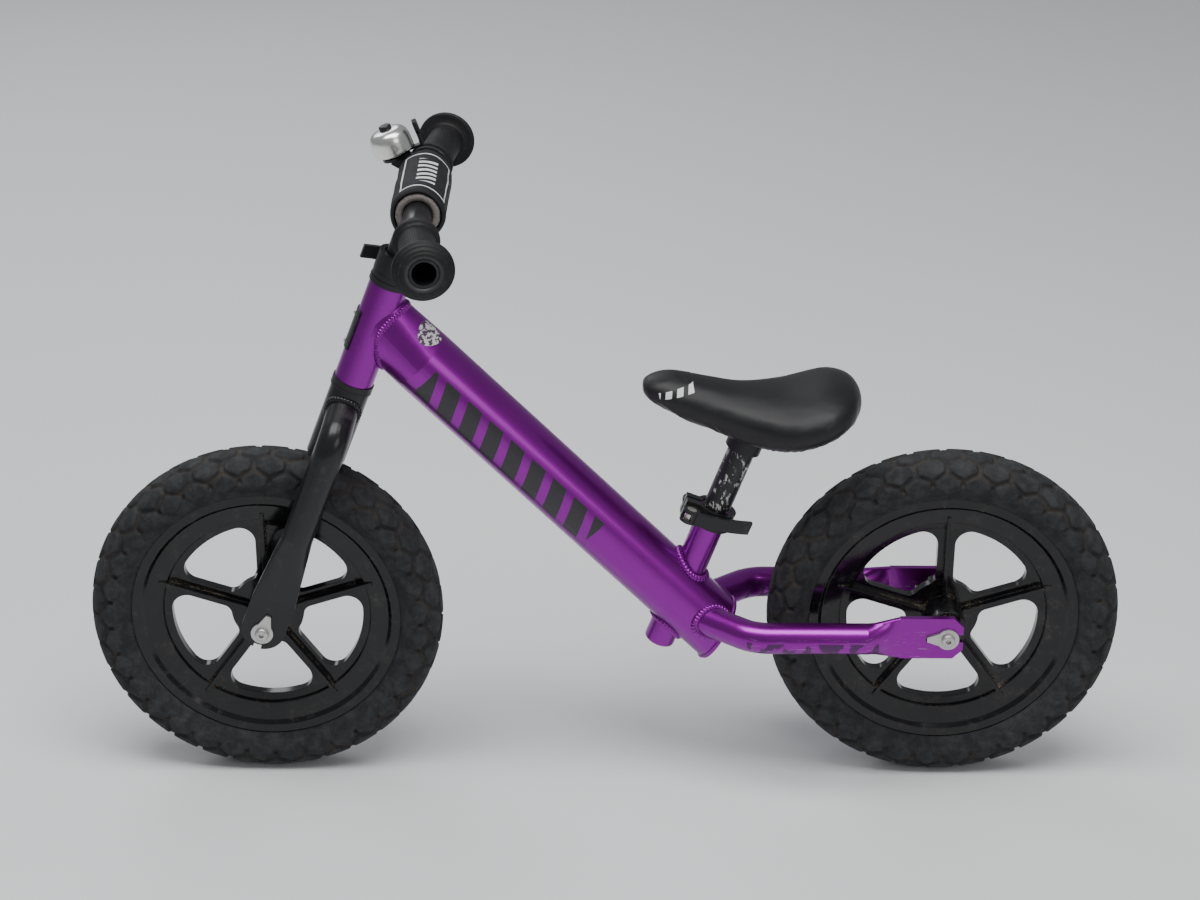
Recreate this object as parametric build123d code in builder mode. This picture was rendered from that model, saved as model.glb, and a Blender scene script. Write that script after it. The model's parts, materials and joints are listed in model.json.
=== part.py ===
from build123d import *
from math import cos, hypot, radians, sin, tan
import os

os.makedirs("parts", exist_ok=True)

# A child's balance bike. X points forward, Y to the bike's left, Z up.
# The origin is on the ground, midway between the two axles.

# Overall sizes
wheel_base = 558.0
tyre_diameter = 290.0
tyre_width = 47.0
bar_width = 310.0

# Lean of the head tube and of the seat tube, from the vertical
head_lean = 20.7
seat_lean = 20.3

# Clearances
running = 0.05
slip = 0.08
seam = 0.3

# Frame tubes
main_diameter = 54.0
main_wall = 2.0
main_above_head_start = 56.0
main_end_to_tyre = 41.0
main_end_below_axle = 15.4
main_pinch_length = 48.0
main_pinch_lip = 0.5
end_cut_lean = 31.0
end_plate_thickness = 2.5
head_wall = 2.0
head_length = 88.0
seat_tube_wall = 1.52
seat_tube_from_end = 45.0
seat_tube_below = 47.5
seat_tube_above = 83.5
seat_tube_floor = 3.0
clamp_slit = 2.5
clamp_slit_depth = 26.0
badge_above_head_start = 26.0
badge_length = 34.0
badge_half_angle = 35.0
badge_thickness = 1.2
rivet_diameter = 4.4
rivet_lip = 0.4

# Rear stays
stay_diameter = 25.4
stay_wall = 2.0
tyre_to_stay = 12.8
stay_root_ahead = 22.5
stay_root_spread = 8.0
stay_bend_behind = 28.5
stay_bend_radius = 36.0
stay_above_axle = 1.0
dropout_height = 36.5
dropout_thickness = 5.0
dropout_ahead = 39.0
dropout_behind = 12.5
dropout_corner = 8.0
flattening_length = 27.0

# Axles, shared by both wheels
rear_spacer_length = 8.5
front_spacer_length = 4.5
axle_diameter = 8.0
bolt_diameter = 6.0
bolt_grip = 15.0
bolt_head_diameter = 11.0
bolt_head_height = 3.6
bolt_key = 4.0
washer_diameter = 18.0
washer_thickness = 2.2
washer_tab_reach = 17.0
washer_tab_width = 4.0
spacer_diameter = 12.0

# Wheels
tyre_height = 34.0
tyre_crown_drop = 4.5
tyre_shoulder_inset = 6.0
tyre_bulge = 1.0
rim_width = 30.0
rim_flange = 2.5
rim_seat_depth = 4.5
rim_wall = 3.0
dish_inside_rim = 25.0
window_inside_dish = 7.0
window_inner_diameter = 60.0
web_thickness = 8.0
spoke_count = 5
spoke_width = 14.0
rib_thickness = 3.0
rib_height = 22.0
rib_past_window = 13.0
hub_wall = 6.0
hub_length = 66.0
bearing_ledge = 2.0
bearing_diameter = 22.0
bearing_width = 7.0

# Fork and steerer
crown_wall = 3.3
crown_length = 63.4
tyre_to_crown = 6.5
crown_floor = 3.0
steerer_wall = 1.52
bearing_thickness = 1.3
race_height = 2.2
cup_lip = 1.0
cup_height = 4.6
top_cap_height = 4.6
leg_diameter = 25.0
leg_wall = 2.0
tyre_to_leg = 3.5
leg_foot = 92.0
leg_shoulder_above_crown_foot = 29.5
leg_top_above_crown_foot = 48.5
leg_top_share = 0.15
leg_bend_radius = 20.0
blade_width = 36.0
blade_thickness = 5.0
blade_start = 30.0
blade_below_axle = 15.0

# Quick-release clamps
collar_wall = 4.05
collar_height = 16.0
collar_overlap = 1.5
ear_past_skewer = 5.0
ear_outside = 8.0
skewer_from_tube = 8.3
skewer_diameter = 5.0
cam_pin_at = 15.7
cam_pin_diameter = 8.0
cam_head_diameter = 14.0
cam_slot_face = 3.0
lever_height = 11.0
lever_thickness = 3.6
lever_reach = 49.0
seat_lever_rise = 8.0
stem_lever_rise = -8.0
clamp_nut_diameter = 11.0
clamp_nut_height = 6.0

# Handlebar
bar_diameter = 22.2
bar_wall = 2.0
bar_above_clamp = 46.9
bar_bend_at = 70.0
bar_back_sweep = 8.7
stem_insertion = 157.0
grip_length = 76.0
grip_wall = 3.1
grip_collar_lip = 3.8
grip_flange_lip = 9.0
grip_collar_width = 4.0
grip_past_bar = 1.5
pad_diameter = 42.6
pad_cover = 1.7
pad_near_end = 34.0
pad_far_end = -63.5

# Bell
bell_from_bend = 5.6
bell_lean = 20.0
bell_ahead = 26.0
bell_above = 14.4
bell_diameter = 33.2
bell_height = 19.4
bell_shoulder = 7.0
bell_wall = 1.2
bell_base_diameter = 23.0
bell_base_thickness = 2.2
bell_base_drop = 5.2
bell_strap_width = 5.0
bell_strap_thickness = 3.9
bell_post_diameter = 5.0
bell_cap_diameter = 10.0
bell_cap_height = 3.4
bell_pivot_back = 9.0
bell_arm_thickness = 2.0
bell_arm_drop = 0.6
bell_arm_width = 2.6
bell_pivot_radius = 1.5
bell_pivot_lip = 1.9
striker_ahead = 9.0
striker_aside = 5.5
thumb_reach = 23.0
thumb_width = 6.0
thumb_rise = 16.0
thumb_length = 13.0
striker_radius = 2.0

# Seat
post_diameter = 22.2
post_wall = 2.1
post_foot = 11.0
post_top = 155.0
boss_wall = 3.4
boss_length = 60.0
boss_foot = 141.0
seat_anchor = 158.0
shell_inset = 4.0
shell_thickness = 5.0
shell_share = 0.58
shell_cut_depth = 25.0

# Seat stations from the nose to the tail: distance ahead of the anchor,
# half width, half height, height of the middle above the anchor
seat_stations = [
    (88.5, 7.0, 4.0, 40.5),
    (83.0, 16.5, 9.0, 39.0),
    (69.0, 24.0, 13.0, 36.7),
    (50.0, 28.5, 15.5, 30.0),
    (26.0, 33.0, 17.3, 23.0),
    (6.0, 39.5, 19.2, 17.8),
    (-21.5, 52.0, 21.5, 15.1),
    (-40.0, 57.0, 22.5, 17.0),
    (-62.0, 55.0, 21.3, 23.4),
    (-77.5, 41.5, 16.1, 28.2),
    (-88.0, 12.0, 5.0, 29.0),
]

# Derived places
axle_height = tyre_diameter / 2
rim_diameter = tyre_diameter - 2 * tyre_height
dish_diameter = rim_diameter - 2 * dish_inside_rim
window_outer_diameter = dish_diameter - 2 * window_inside_dish
rib_reach = window_outer_diameter / 2 + rib_past_window
hub_diameter = bearing_diameter + 2 * hub_wall
hub_bore = bearing_diameter - 2 * bearing_ledge
rear_dropout_gap = hub_length + 2 * rear_spacer_length
front_dropout_gap = hub_length + 2 * front_spacer_length
stay_spread = tyre_width / 2 + tyre_to_stay + stay_diameter / 2
leg_spread = tyre_width / 2 + tyre_to_leg + leg_diameter / 2

# Each tube fits the one inside it
seat_tube_diameter = post_diameter + 2 * (slip + seat_tube_wall)
steerer_diameter = bar_diameter + 2 * (slip + steerer_wall)
head_bore = steerer_diameter + 2 * bearing_thickness
head_diameter = head_bore + 2 * head_wall
cup_diameter = head_diameter + 2 * cup_lip
crown_diameter = steerer_diameter + 2 * crown_wall
bar_bore = bar_diameter - 2 * bar_wall
post_bore = post_diameter - 2 * post_wall
boss_diameter = post_diameter + 2 * boss_wall
grip_diameter = bar_diameter + 2 * grip_wall
grip_collar_diameter = grip_diameter + 2 * grip_collar_lip
grip_flange_diameter = grip_diameter + 2 * grip_flange_lip
bell_strap_diameter = bar_diameter + 2 * bell_strap_thickness

front_axle = Vector(wheel_base / 2, 0, axle_height)
rear_axle = Vector(-wheel_base / 2, 0, axle_height)


def leaning_plane(foot, lean):
    """A plane at foot whose normal rises and leans back, with X forward and Y to the left."""
    turn = radians(lean)
    return Plane(origin=foot, x_dir=(cos(turn), 0, sin(turn)), z_dir=(-sin(turn), 0, cos(turn)))


steering = leaning_plane(front_axle, head_lean)
crown_start = tyre_diameter / 2 + tyre_to_crown
crown_end = crown_start + crown_length
leg_shoulder = crown_start + leg_shoulder_above_crown_foot
leg_top = crown_start + leg_top_above_crown_foot
head_start = crown_end + race_height + seam + cup_height
head_end = head_start + head_length
badge_start = head_start + badge_above_head_start
collar_start = head_end + cup_height + top_cap_height + 2 * seam
steerer_top = collar_start + collar_height - collar_overlap
bar_station = collar_start + collar_height + bar_above_clamp

main_top = steering.offset(head_start + main_above_head_start).origin
main_end = rear_axle + Vector(tyre_diameter / 2 + main_end_to_tyre, 0, -main_end_below_axle)
main_run = main_end - main_top
main_direction = main_run.normalized()
main_start_plane = Plane(origin=main_top, x_dir=(0, 1, 0), z_dir=main_direction)
end_turn = radians(end_cut_lean)
end_cut_plane = Plane(origin=main_end, x_dir=(0, 1, 0), z_dir=(-cos(end_turn), 0, -sin(end_turn)))

seat_crossing = main_end - main_direction * seat_tube_from_end
seating = leaning_plane(seat_crossing, seat_lean)

bearing_face = hub_length / 2


def across(y_place, centre):
    """A plane square to the axle at a place along Y, with X forward and Z up."""
    return Plane(origin=(centre.X, y_place, centre.Z), x_dir=(1, 0, 0), z_dir=(0, -1, 0))


def save(piece, name):
    piece.part.label = name
    export_step(piece.part, f"parts/{name}.step")


# ---- Frame ----
with BuildPart() as main_solid:
    # the outside of the main tube, pinched sideways where it meets the head tube
    with BuildSketch(main_start_plane):
        Ellipse(head_diameter / 2 + main_pinch_lip, main_diameter / 2)
    with BuildSketch(main_start_plane.offset(main_pinch_length)):
        Ellipse(main_diameter / 2, main_diameter / 2)
    loft()
    with BuildSketch(main_start_plane.offset(main_pinch_length)):
        Circle(main_diameter / 2)
    extrude(amount=main_run.length)
    split(bisect_by=end_cut_plane, keep=Keep.BOTTOM)

with BuildPart() as main_tube:
    add(main_solid.part)
    with BuildSketch(main_start_plane):
        Ellipse(head_diameter / 2 + main_pinch_lip - main_wall, main_diameter / 2 - main_wall)
    with BuildSketch(main_start_plane.offset(main_pinch_length)):
        Ellipse(main_diameter / 2 - main_wall, main_diameter / 2 - main_wall)
    loft(mode=Mode.SUBTRACT)
    with BuildSketch(main_start_plane.offset(main_pinch_length)):
        Circle(main_diameter / 2 - main_wall)
    extrude(amount=2 * main_run.length, mode=Mode.SUBTRACT)
    split(bisect_by=Plane(origin=front_axle, x_dir=(0, 1, 0), z_dir=steering.x_dir), keep=Keep.BOTTOM)
    with BuildSketch(steering):
        Circle(head_diameter / 2)
    extrude(amount=head_end + main_diameter, mode=Mode.SUBTRACT)
    with BuildSketch(seating.offset(-2 * main_diameter)):
        Circle(seat_tube_diameter / 2)
    extrude(amount=4 * main_diameter, mode=Mode.SUBTRACT)
save(main_tube, "main_tube")

with BuildPart() as tube_end_plate:
    with BuildSketch(main_start_plane.offset(main_run.length / 2)):
        Circle(main_diameter / 2)
    extrude(amount=main_run.length)
    with BuildSketch(end_cut_plane):
        Rectangle(4 * main_diameter, 4 * main_diameter)
    extrude(amount=end_plate_thickness, mode=Mode.INTERSECT)
save(tube_end_plate, "tube_end_plate")

with BuildPart() as head_tube:
    with BuildSketch(steering.offset(head_start)):
        Circle(head_diameter / 2)
        Circle(head_bore / 2, mode=Mode.SUBTRACT)
    extrude(amount=head_length)
save(head_tube, "head_tube")

with BuildPart() as seat_tube:
    with BuildSketch(seating.offset(-seat_tube_below)):
        Circle(seat_tube_diameter / 2)
    extrude(amount=seat_tube_below + seat_tube_above)
    fillet(seat_tube.faces().sort_by(Axis.Z)[0].edges(), radius=seat_tube_floor)
    with BuildSketch(seating.offset(seat_tube_floor - seat_tube_below)):
        Circle(post_diameter / 2 + slip)
    extrude(amount=seat_tube_below + seat_tube_above, mode=Mode.SUBTRACT)
    with BuildSketch(seating.offset(seat_tube_above - clamp_slit_depth)):
        with Locations((seat_tube_diameter / 2, 0)):
            Rectangle(seat_tube_diameter, clamp_slit)
    extrude(amount=clamp_slit_depth, mode=Mode.SUBTRACT)
save(seat_tube, "seat_tube")

# ---- Rear stays, each flattened into its dropout ----
stay_height = axle_height + stay_above_axle
stay_root = (main_end.X + stay_root_ahead, stay_root_spread, stay_height)
stay_bend = (main_end.X - stay_bend_behind, stay_spread, stay_height)
dropout_inner = rear_dropout_gap / 2
dropout_start_x = rear_axle.X + dropout_ahead
stay_foot_x = dropout_start_x + flattening_length
dropout_middle = dropout_inner + dropout_thickness / 2

with BuildPart() as stay_left:
    with BuildLine() as stay_path:
        FilletPolyline(stay_root, stay_bend, (stay_foot_x, stay_spread, stay_height), radius=stay_bend_radius)
    stay_run = Vector(*stay_bend) - Vector(*stay_root)
    stay_root_plane = Plane(origin=stay_root, x_dir=(0, 0, 1), z_dir=stay_run)
    with BuildSketch(stay_root_plane):
        Circle(stay_diameter / 2)
    sweep(path=stay_path.line)
    stay_foot = (stay_foot_x, stay_spread, stay_height)
    with BuildSketch(Plane(origin=stay_foot, x_dir=(0, 1, 0), z_dir=(-1, 0, 0))):
        Circle(stay_diameter / 2)
    dropout_front = (dropout_start_x, dropout_middle, axle_height)
    with BuildSketch(Plane(origin=dropout_front, x_dir=(0, 1, 0), z_dir=(-1, 0, 0))):
        RectangleRounded(dropout_thickness, dropout_height, dropout_thickness * 0.3)
    loft()
    with BuildSketch(across(dropout_inner + dropout_thickness, rear_axle)):
        with Locations(((dropout_ahead - dropout_behind) / 2, 0)):
            dropout_face = Rectangle(dropout_ahead + dropout_behind, dropout_height)
        chamfer(dropout_face.vertices().group_by(Axis.X)[0], length=dropout_corner)
        with Locations((-dropout_behind, 0)):
            Rectangle(2 * dropout_behind, bolt_diameter + 2 * seam, mode=Mode.SUBTRACT)
        Circle(bolt_diameter / 2 + seam, mode=Mode.SUBTRACT)
        with Locations((washer_tab_reach - washer_thickness / 2, 0)):
            Rectangle(washer_thickness + 4 * seam, washer_tab_width + 4 * seam, mode=Mode.SUBTRACT)
    extrude(amount=dropout_thickness)
    # the bore runs from the open root to where the tube is flattened
    with BuildSketch(stay_root_plane):
        Circle(stay_diameter / 2 - stay_wall)
    sweep(path=stay_path.line, mode=Mode.SUBTRACT)
    add(main_solid.part, mode=Mode.SUBTRACT)
    add(tube_end_plate.part, mode=Mode.SUBTRACT)
save(stay_left, "stay_left")

with BuildPart() as stay_right:
    mirror(stay_left.part, about=Plane.XZ)
save(stay_right, "stay_right")

# ---- Head badge and its rivets ----
badge_radius = head_diameter / 2 + running
badge_side = 2 * head_diameter
rivet_stations = [badge_start + rivet_diameter, badge_start + badge_length - rivet_diameter]


def front_plane(station, radius):
    """A plane on the front of the head tube, facing forward."""
    place = steering.offset(station)
    return Plane(origin=place.origin + place.x_dir * radius, x_dir=(0, 1, 0), z_dir=place.x_dir)


with BuildPart() as head_badge:
    with BuildSketch(steering.offset(badge_start)):
        Circle(badge_radius + badge_thickness)
        Circle(badge_radius, mode=Mode.SUBTRACT)
        rise = badge_side * tan(radians(badge_half_angle))
        with BuildLine():
            Polyline((0, 0), (badge_side, -rise), (badge_side, rise), close=True)
        make_face(mode=Mode.INTERSECT)
    extrude(amount=badge_length)
    for station in rivet_stations:
        with BuildSketch(front_plane(station, 0)):
            Circle(rivet_diameter / 2)
        extrude(amount=head_diameter, mode=Mode.SUBTRACT)
save(head_badge, "head_badge")

with BuildPart() as badge_rivets:
    for station in rivet_stations:
        with BuildSketch(front_plane(station, badge_radius)):
            Circle(rivet_diameter / 2 - running)
        extrude(amount=badge_thickness)
        with BuildSketch(front_plane(station, badge_radius + badge_thickness)):
            Circle(rivet_diameter / 2 + rivet_lip)
        extrude(amount=badge_thickness, taper=30)
save(badge_rivets, "badge_rivets")


# ---- Headset ----
def ring(start, height, outer, inner):
    """A ring about the steering axis."""
    with BuildPart() as piece:
        with BuildSketch(steering.offset(start)):
            Circle(outer / 2)
            Circle(inner / 2, mode=Mode.SUBTRACT)
        extrude(amount=height)
    return piece


cup_starts = {"lower": head_start - cup_height, "upper": head_end}
for place, start in cup_starts.items():
    save(ring(start, cup_height, cup_diameter, head_bore), f"headset_cup_{place}")
    bearing = ring(start, cup_height, head_bore - 2 * running, steerer_diameter + 2 * running)
    save(bearing, f"headset_bearing_{place}")

save(ring(crown_end, race_height, cup_diameter, steerer_diameter + 2 * running), "crown_race")
top_cap = ring(head_end + cup_height + seam, top_cap_height, cup_diameter - 1, steerer_diameter + 2 * running)
save(top_cap, "headset_top_cap")

# ---- Fork ----
with BuildPart() as fork_crown:
    with BuildSketch(steering.offset(crown_start)):
        Circle(crown_diameter / 2)
    extrude(amount=crown_end - crown_start)
    with BuildSketch(steering.offset(crown_start + crown_floor)):
        Circle(steerer_diameter / 2 + running)
    extrude(amount=crown_end - crown_start, mode=Mode.SUBTRACT)
save(fork_crown, "fork_crown")

steerer_foot = crown_start + crown_floor
with BuildPart() as steerer_tube:
    with BuildSketch(steering.offset(steerer_foot)):
        Circle(steerer_diameter / 2)
        Circle(bar_diameter / 2 + slip, mode=Mode.SUBTRACT)
    extrude(amount=steerer_top - steerer_foot)
    with BuildSketch(steering.offset(steerer_top - clamp_slit_depth)):
        with Locations((-steerer_diameter / 2, 0)):
            Rectangle(steerer_diameter, clamp_slit)
    extrude(amount=clamp_slit_depth, mode=Mode.SUBTRACT)
save(steerer_tube, "steerer_tube")

fork_plane = Plane(origin=front_axle, x_dir=(0, 1, 0), z_dir=steering.x_dir)
blade_inner = front_dropout_gap / 2
blade_middle = blade_inner + blade_thickness / 2
blade_face = Plane(origin=front_axle + Vector(0, blade_inner, 0), x_dir=steering.x_dir, z_dir=(0, -1, 0))

with BuildPart() as fork_leg_left:
    with BuildLine(fork_plane) as leg_path:
        FilletPolyline(
            (leg_spread, leg_foot), (leg_spread, leg_shoulder), (leg_top_share * leg_spread, leg_top),
            radius=leg_bend_radius,
        )
    with BuildSketch(steering.offset(leg_foot)):
        with Locations((0, leg_spread)):
            Circle(leg_diameter / 2)
    sweep(path=leg_path.line)
    with BuildSketch(steering.offset(blade_start)):
        with Locations((0, blade_middle)):
            RectangleRounded(blade_width, blade_thickness, blade_thickness * 0.3)
    with BuildSketch(steering.offset(leg_foot)):
        with Locations((0, leg_spread)):
            Circle(leg_diameter / 2)
    loft()
    with BuildSketch(blade_face):
        foot_radius = blade_width / 2
        with Locations((0, blade_start - (blade_start + blade_below_axle - foot_radius) / 2)):
            Rectangle(blade_width, blade_start + blade_below_axle - foot_radius)
        with Locations((0, foot_radius - blade_below_axle)):
            Circle(foot_radius)
        with Locations((0, -blade_below_axle)):
            Rectangle(bolt_diameter + 2 * seam, 2 * blade_below_axle, mode=Mode.SUBTRACT)
        Circle(bolt_diameter / 2 + seam, mode=Mode.SUBTRACT)
        with Locations((0, washer_tab_reach - washer_thickness / 2)):
            Rectangle(washer_tab_width + 4 * seam, washer_thickness + 4 * seam, mode=Mode.SUBTRACT)
    extrude(amount=-blade_thickness)
    # the bore runs from where the leg is flattened to its open top
    with BuildSketch(steering.offset(leg_foot)):
        with Locations((0, leg_spread)):
            Circle(leg_diameter / 2 - leg_wall)
    sweep(path=leg_path.line, mode=Mode.SUBTRACT)
    with BuildSketch(steering.offset(leg_foot)):
        Circle(crown_diameter / 2)
    extrude(amount=head_start, mode=Mode.SUBTRACT)
save(fork_leg_left, "fork_leg_left")

with BuildPart() as fork_leg_right:
    mirror(fork_leg_left.part, about=Plane.XZ)
save(fork_leg_right, "fork_leg_right")


# ---- Axles with their spacers, bolts and tab washers ----
def axle_rod(centre, gap):
    with BuildPart() as piece:
        with BuildSketch(across(gap / 2, centre)):
            Circle(axle_diameter / 2)
        extrude(amount=gap)
        for side in (-1, 1):
            with BuildSketch(across(side * gap / 2, centre)):
                Circle(bolt_diameter / 2 + running)
            extrude(amount=side * bolt_grip, mode=Mode.SUBTRACT)
    return piece


def axle_spacers(centre, gap):
    inner_half = hub_length / 2 - bearing_width - slip
    outer_length = gap / 2 - bearing_face - slip
    with BuildPart() as piece:
        pieces = [
            (inner_half, 2 * inner_half),
            (gap / 2, outer_length),
            (-bearing_face - slip, outer_length),
        ]
        for start, length in pieces:
            with BuildSketch(across(start, centre)):
                Circle(spacer_diameter / 2)
                Circle(axle_diameter / 2 + running, mode=Mode.SUBTRACT)
            extrude(amount=length)
    return piece


def axle_bolts(centre, plate_outer):
    head_base = plate_outer + washer_thickness
    with BuildPart() as piece:
        for side in (-1, 1):
            with BuildSketch(across(side * head_base, centre)):
                Circle(bolt_head_diameter / 2)
            extrude(amount=-side * bolt_head_height)
            head_edge = piece.faces().filter_by(Axis.Y).sort_by(Axis.Y)[0 if side < 0 else -1].edges()
            fillet(head_edge, radius=bolt_head_height * 0.55)
            with BuildSketch(across(side * head_base, centre)):
                Circle(bolt_diameter / 2)
            extrude(amount=side * (bolt_grip + washer_thickness))
            with BuildSketch(across(side * (head_base + bolt_head_height), centre)):
                RegularPolygon(bolt_key / 2, 6, major_radius=False)
            extrude(amount=side * bolt_head_height * 0.6, mode=Mode.SUBTRACT)
    return piece


def tab_washers(centre, plate_outer, plate_inner, turn):
    """Teardrop washers, whose bent tab hooks into a slot in the dropout; turn is the tab's direction."""
    with BuildPart() as piece:
        for side in (-1, 1):
            face = Plane(
                origin=(centre.X, side * plate_outer, centre.Z),
                x_dir=(cos(turn), 0, sin(turn)),
                z_dir=(0, side, 0),
            )
            with BuildSketch(face):
                Circle(washer_diameter / 2)
                with BuildLine():
                    Polyline(
                        (0, washer_diameter / 2 - 1),
                        (0, 1 - washer_diameter / 2),
                        (washer_tab_reach, -washer_tab_width / 2),
                        (washer_tab_reach, washer_tab_width / 2),
                        close=True,
                    )
                make_face()
                Circle(bolt_diameter / 2 + running, mode=Mode.SUBTRACT)
            extrude(amount=washer_thickness)
            with BuildSketch(face):
                with Locations((washer_tab_reach - washer_thickness / 2, 0)):
                    Rectangle(washer_thickness, washer_tab_width)
            extrude(amount=plate_inner - plate_outer)
    return piece


axle_sets = {
    "front": (front_axle, front_dropout_gap, blade_thickness, radians(90 + head_lean)),
    "rear": (rear_axle, rear_dropout_gap, dropout_thickness, 0),
}
for name, (centre, gap, plate, tab_turn) in axle_sets.items():
    save(axle_rod(centre, gap), f"{name}_axle")
    save(axle_spacers(centre, gap), f"{name}_axle_spacers")
    save(axle_bolts(centre, gap / 2 + plate), f"{name}_axle_bolts")
    save(tab_washers(centre, gap / 2 + plate, gap / 2, tab_turn), f"{name}_tab_washers")


# ---- Wheels ----
rim_radius = rim_diameter / 2
seat_radius = rim_radius - rim_seat_depth
channel_half = rim_width / 2 - rim_flange


def make_rim(centre):
    """A moulded wheel: rim, dish, five ribbed spokes and hub in one piece."""
    wheel_face = Plane(origin=centre, x_dir=(1, 0, 0), z_dir=(0, -1, 0))
    with BuildPart() as piece:
        with BuildSketch(Plane(origin=centre, x_dir=(1, 0, 0), z_dir=(0, 0, 1))) as section:
            with BuildLine():
                Polyline(
                    (window_outer_diameter / 2, 0),
                    (window_outer_diameter / 2, web_thickness / 2),
                    (dish_diameter / 2 - 1, web_thickness / 2 + 1.5),
                    (dish_diameter / 2, channel_half - 4),
                    (seat_radius - rim_wall - 3, channel_half - 0.5),
                    (seat_radius - rim_wall, rim_width / 2),
                    (rim_radius, rim_width / 2),
                    (rim_radius, channel_half),
                    (seat_radius, channel_half),
                    (seat_radius, 0),
                    close=True,
                )
            make_face()
            mirror(about=Plane.XZ)
        revolve(axis=Axis(centre, (0, 1, 0)))
        with BuildSketch(wheel_face.offset(-web_thickness / 2)):
            Circle(dish_diameter / 2)
            with BuildSketch(mode=Mode.PRIVATE) as windows:
                Circle(window_outer_diameter / 2)
                Circle(window_inner_diameter / 2, mode=Mode.SUBTRACT)
                with PolarLocations(window_outer_diameter / 4, spoke_count, start_angle=90):
                    Rectangle(window_outer_diameter / 2 + spoke_width, spoke_width, mode=Mode.SUBTRACT)
                corners = windows.vertices().sort_by(lambda corner: hypot(corner.X, corner.Y))
                fillet(corners[: 2 * spoke_count], radius=spoke_width * 0.6)
                corners = windows.vertices().sort_by(lambda corner: hypot(corner.X, corner.Y))
                fillet(corners[-2 * spoke_count:], radius=spoke_width * 0.9)
            add(windows.sketch, mode=Mode.SUBTRACT)
        extrude(amount=web_thickness)
        with BuildSketch(wheel_face.offset(-rib_height / 2)):
            with PolarLocations(rib_reach / 2, spoke_count, start_angle=90):
                Rectangle(rib_reach, rib_thickness)
        extrude(amount=rib_height)
        with BuildSketch(wheel_face.offset(-hub_length / 2)):
            Circle(hub_diameter / 2)
        extrude(amount=hub_length)
        with BuildSketch(wheel_face.offset(-hub_length / 2)):
            Circle(hub_bore / 2)
        extrude(amount=hub_length, mode=Mode.SUBTRACT)
        for side in (-1, 1):
            with BuildSketch(wheel_face.offset(side * hub_length / 2)):
                Circle(bearing_diameter / 2 + running / 2)
            extrude(amount=-side * bearing_width, mode=Mode.SUBTRACT)
    return piece


def make_tyre(centre):
    outer = tyre_diameter / 2
    half = tyre_width / 2
    bead = rim_radius + slip
    bead_edge = (bead, rim_width / 2 + tyre_bulge)
    shoulder = (outer - tyre_crown_drop, half - tyre_shoulder_inset)
    with BuildPart() as piece:
        with BuildSketch(Plane(origin=centre, x_dir=(1, 0, 0), z_dir=(0, 0, 1))):
            with BuildLine():
                Polyline(
                    (outer, 0),
                    (seat_radius + slip, 0),
                    (seat_radius + slip, channel_half - slip),
                    (bead, channel_half - slip),
                    bead_edge,
                )
                ThreePointArc(bead_edge, ((bead + outer) / 2 - tyre_bulge, half), shoulder)
                TangentArc((outer, 0), shoulder, tangent=(0, 1))
            make_face()
            mirror(about=Plane.XZ)
        revolve(axis=Axis(centre, (0, 1, 0)))
    return piece


def make_bearings(centre):
    with BuildPart() as piece:
        for start in (hub_length / 2, bearing_width - hub_length / 2):
            with BuildSketch(across(start, centre)):
                Circle(bearing_diameter / 2)
                Circle(axle_diameter / 2 + running, mode=Mode.SUBTRACT)
            extrude(amount=bearing_width)
    return piece


for name, centre in (("front", front_axle), ("rear", rear_axle)):
    save(make_rim(centre), f"{name}_wheel")
    save(make_tyre(centre), f"{name}_tyre")
    save(make_bearings(centre), f"{name}_wheel_bearings")


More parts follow.
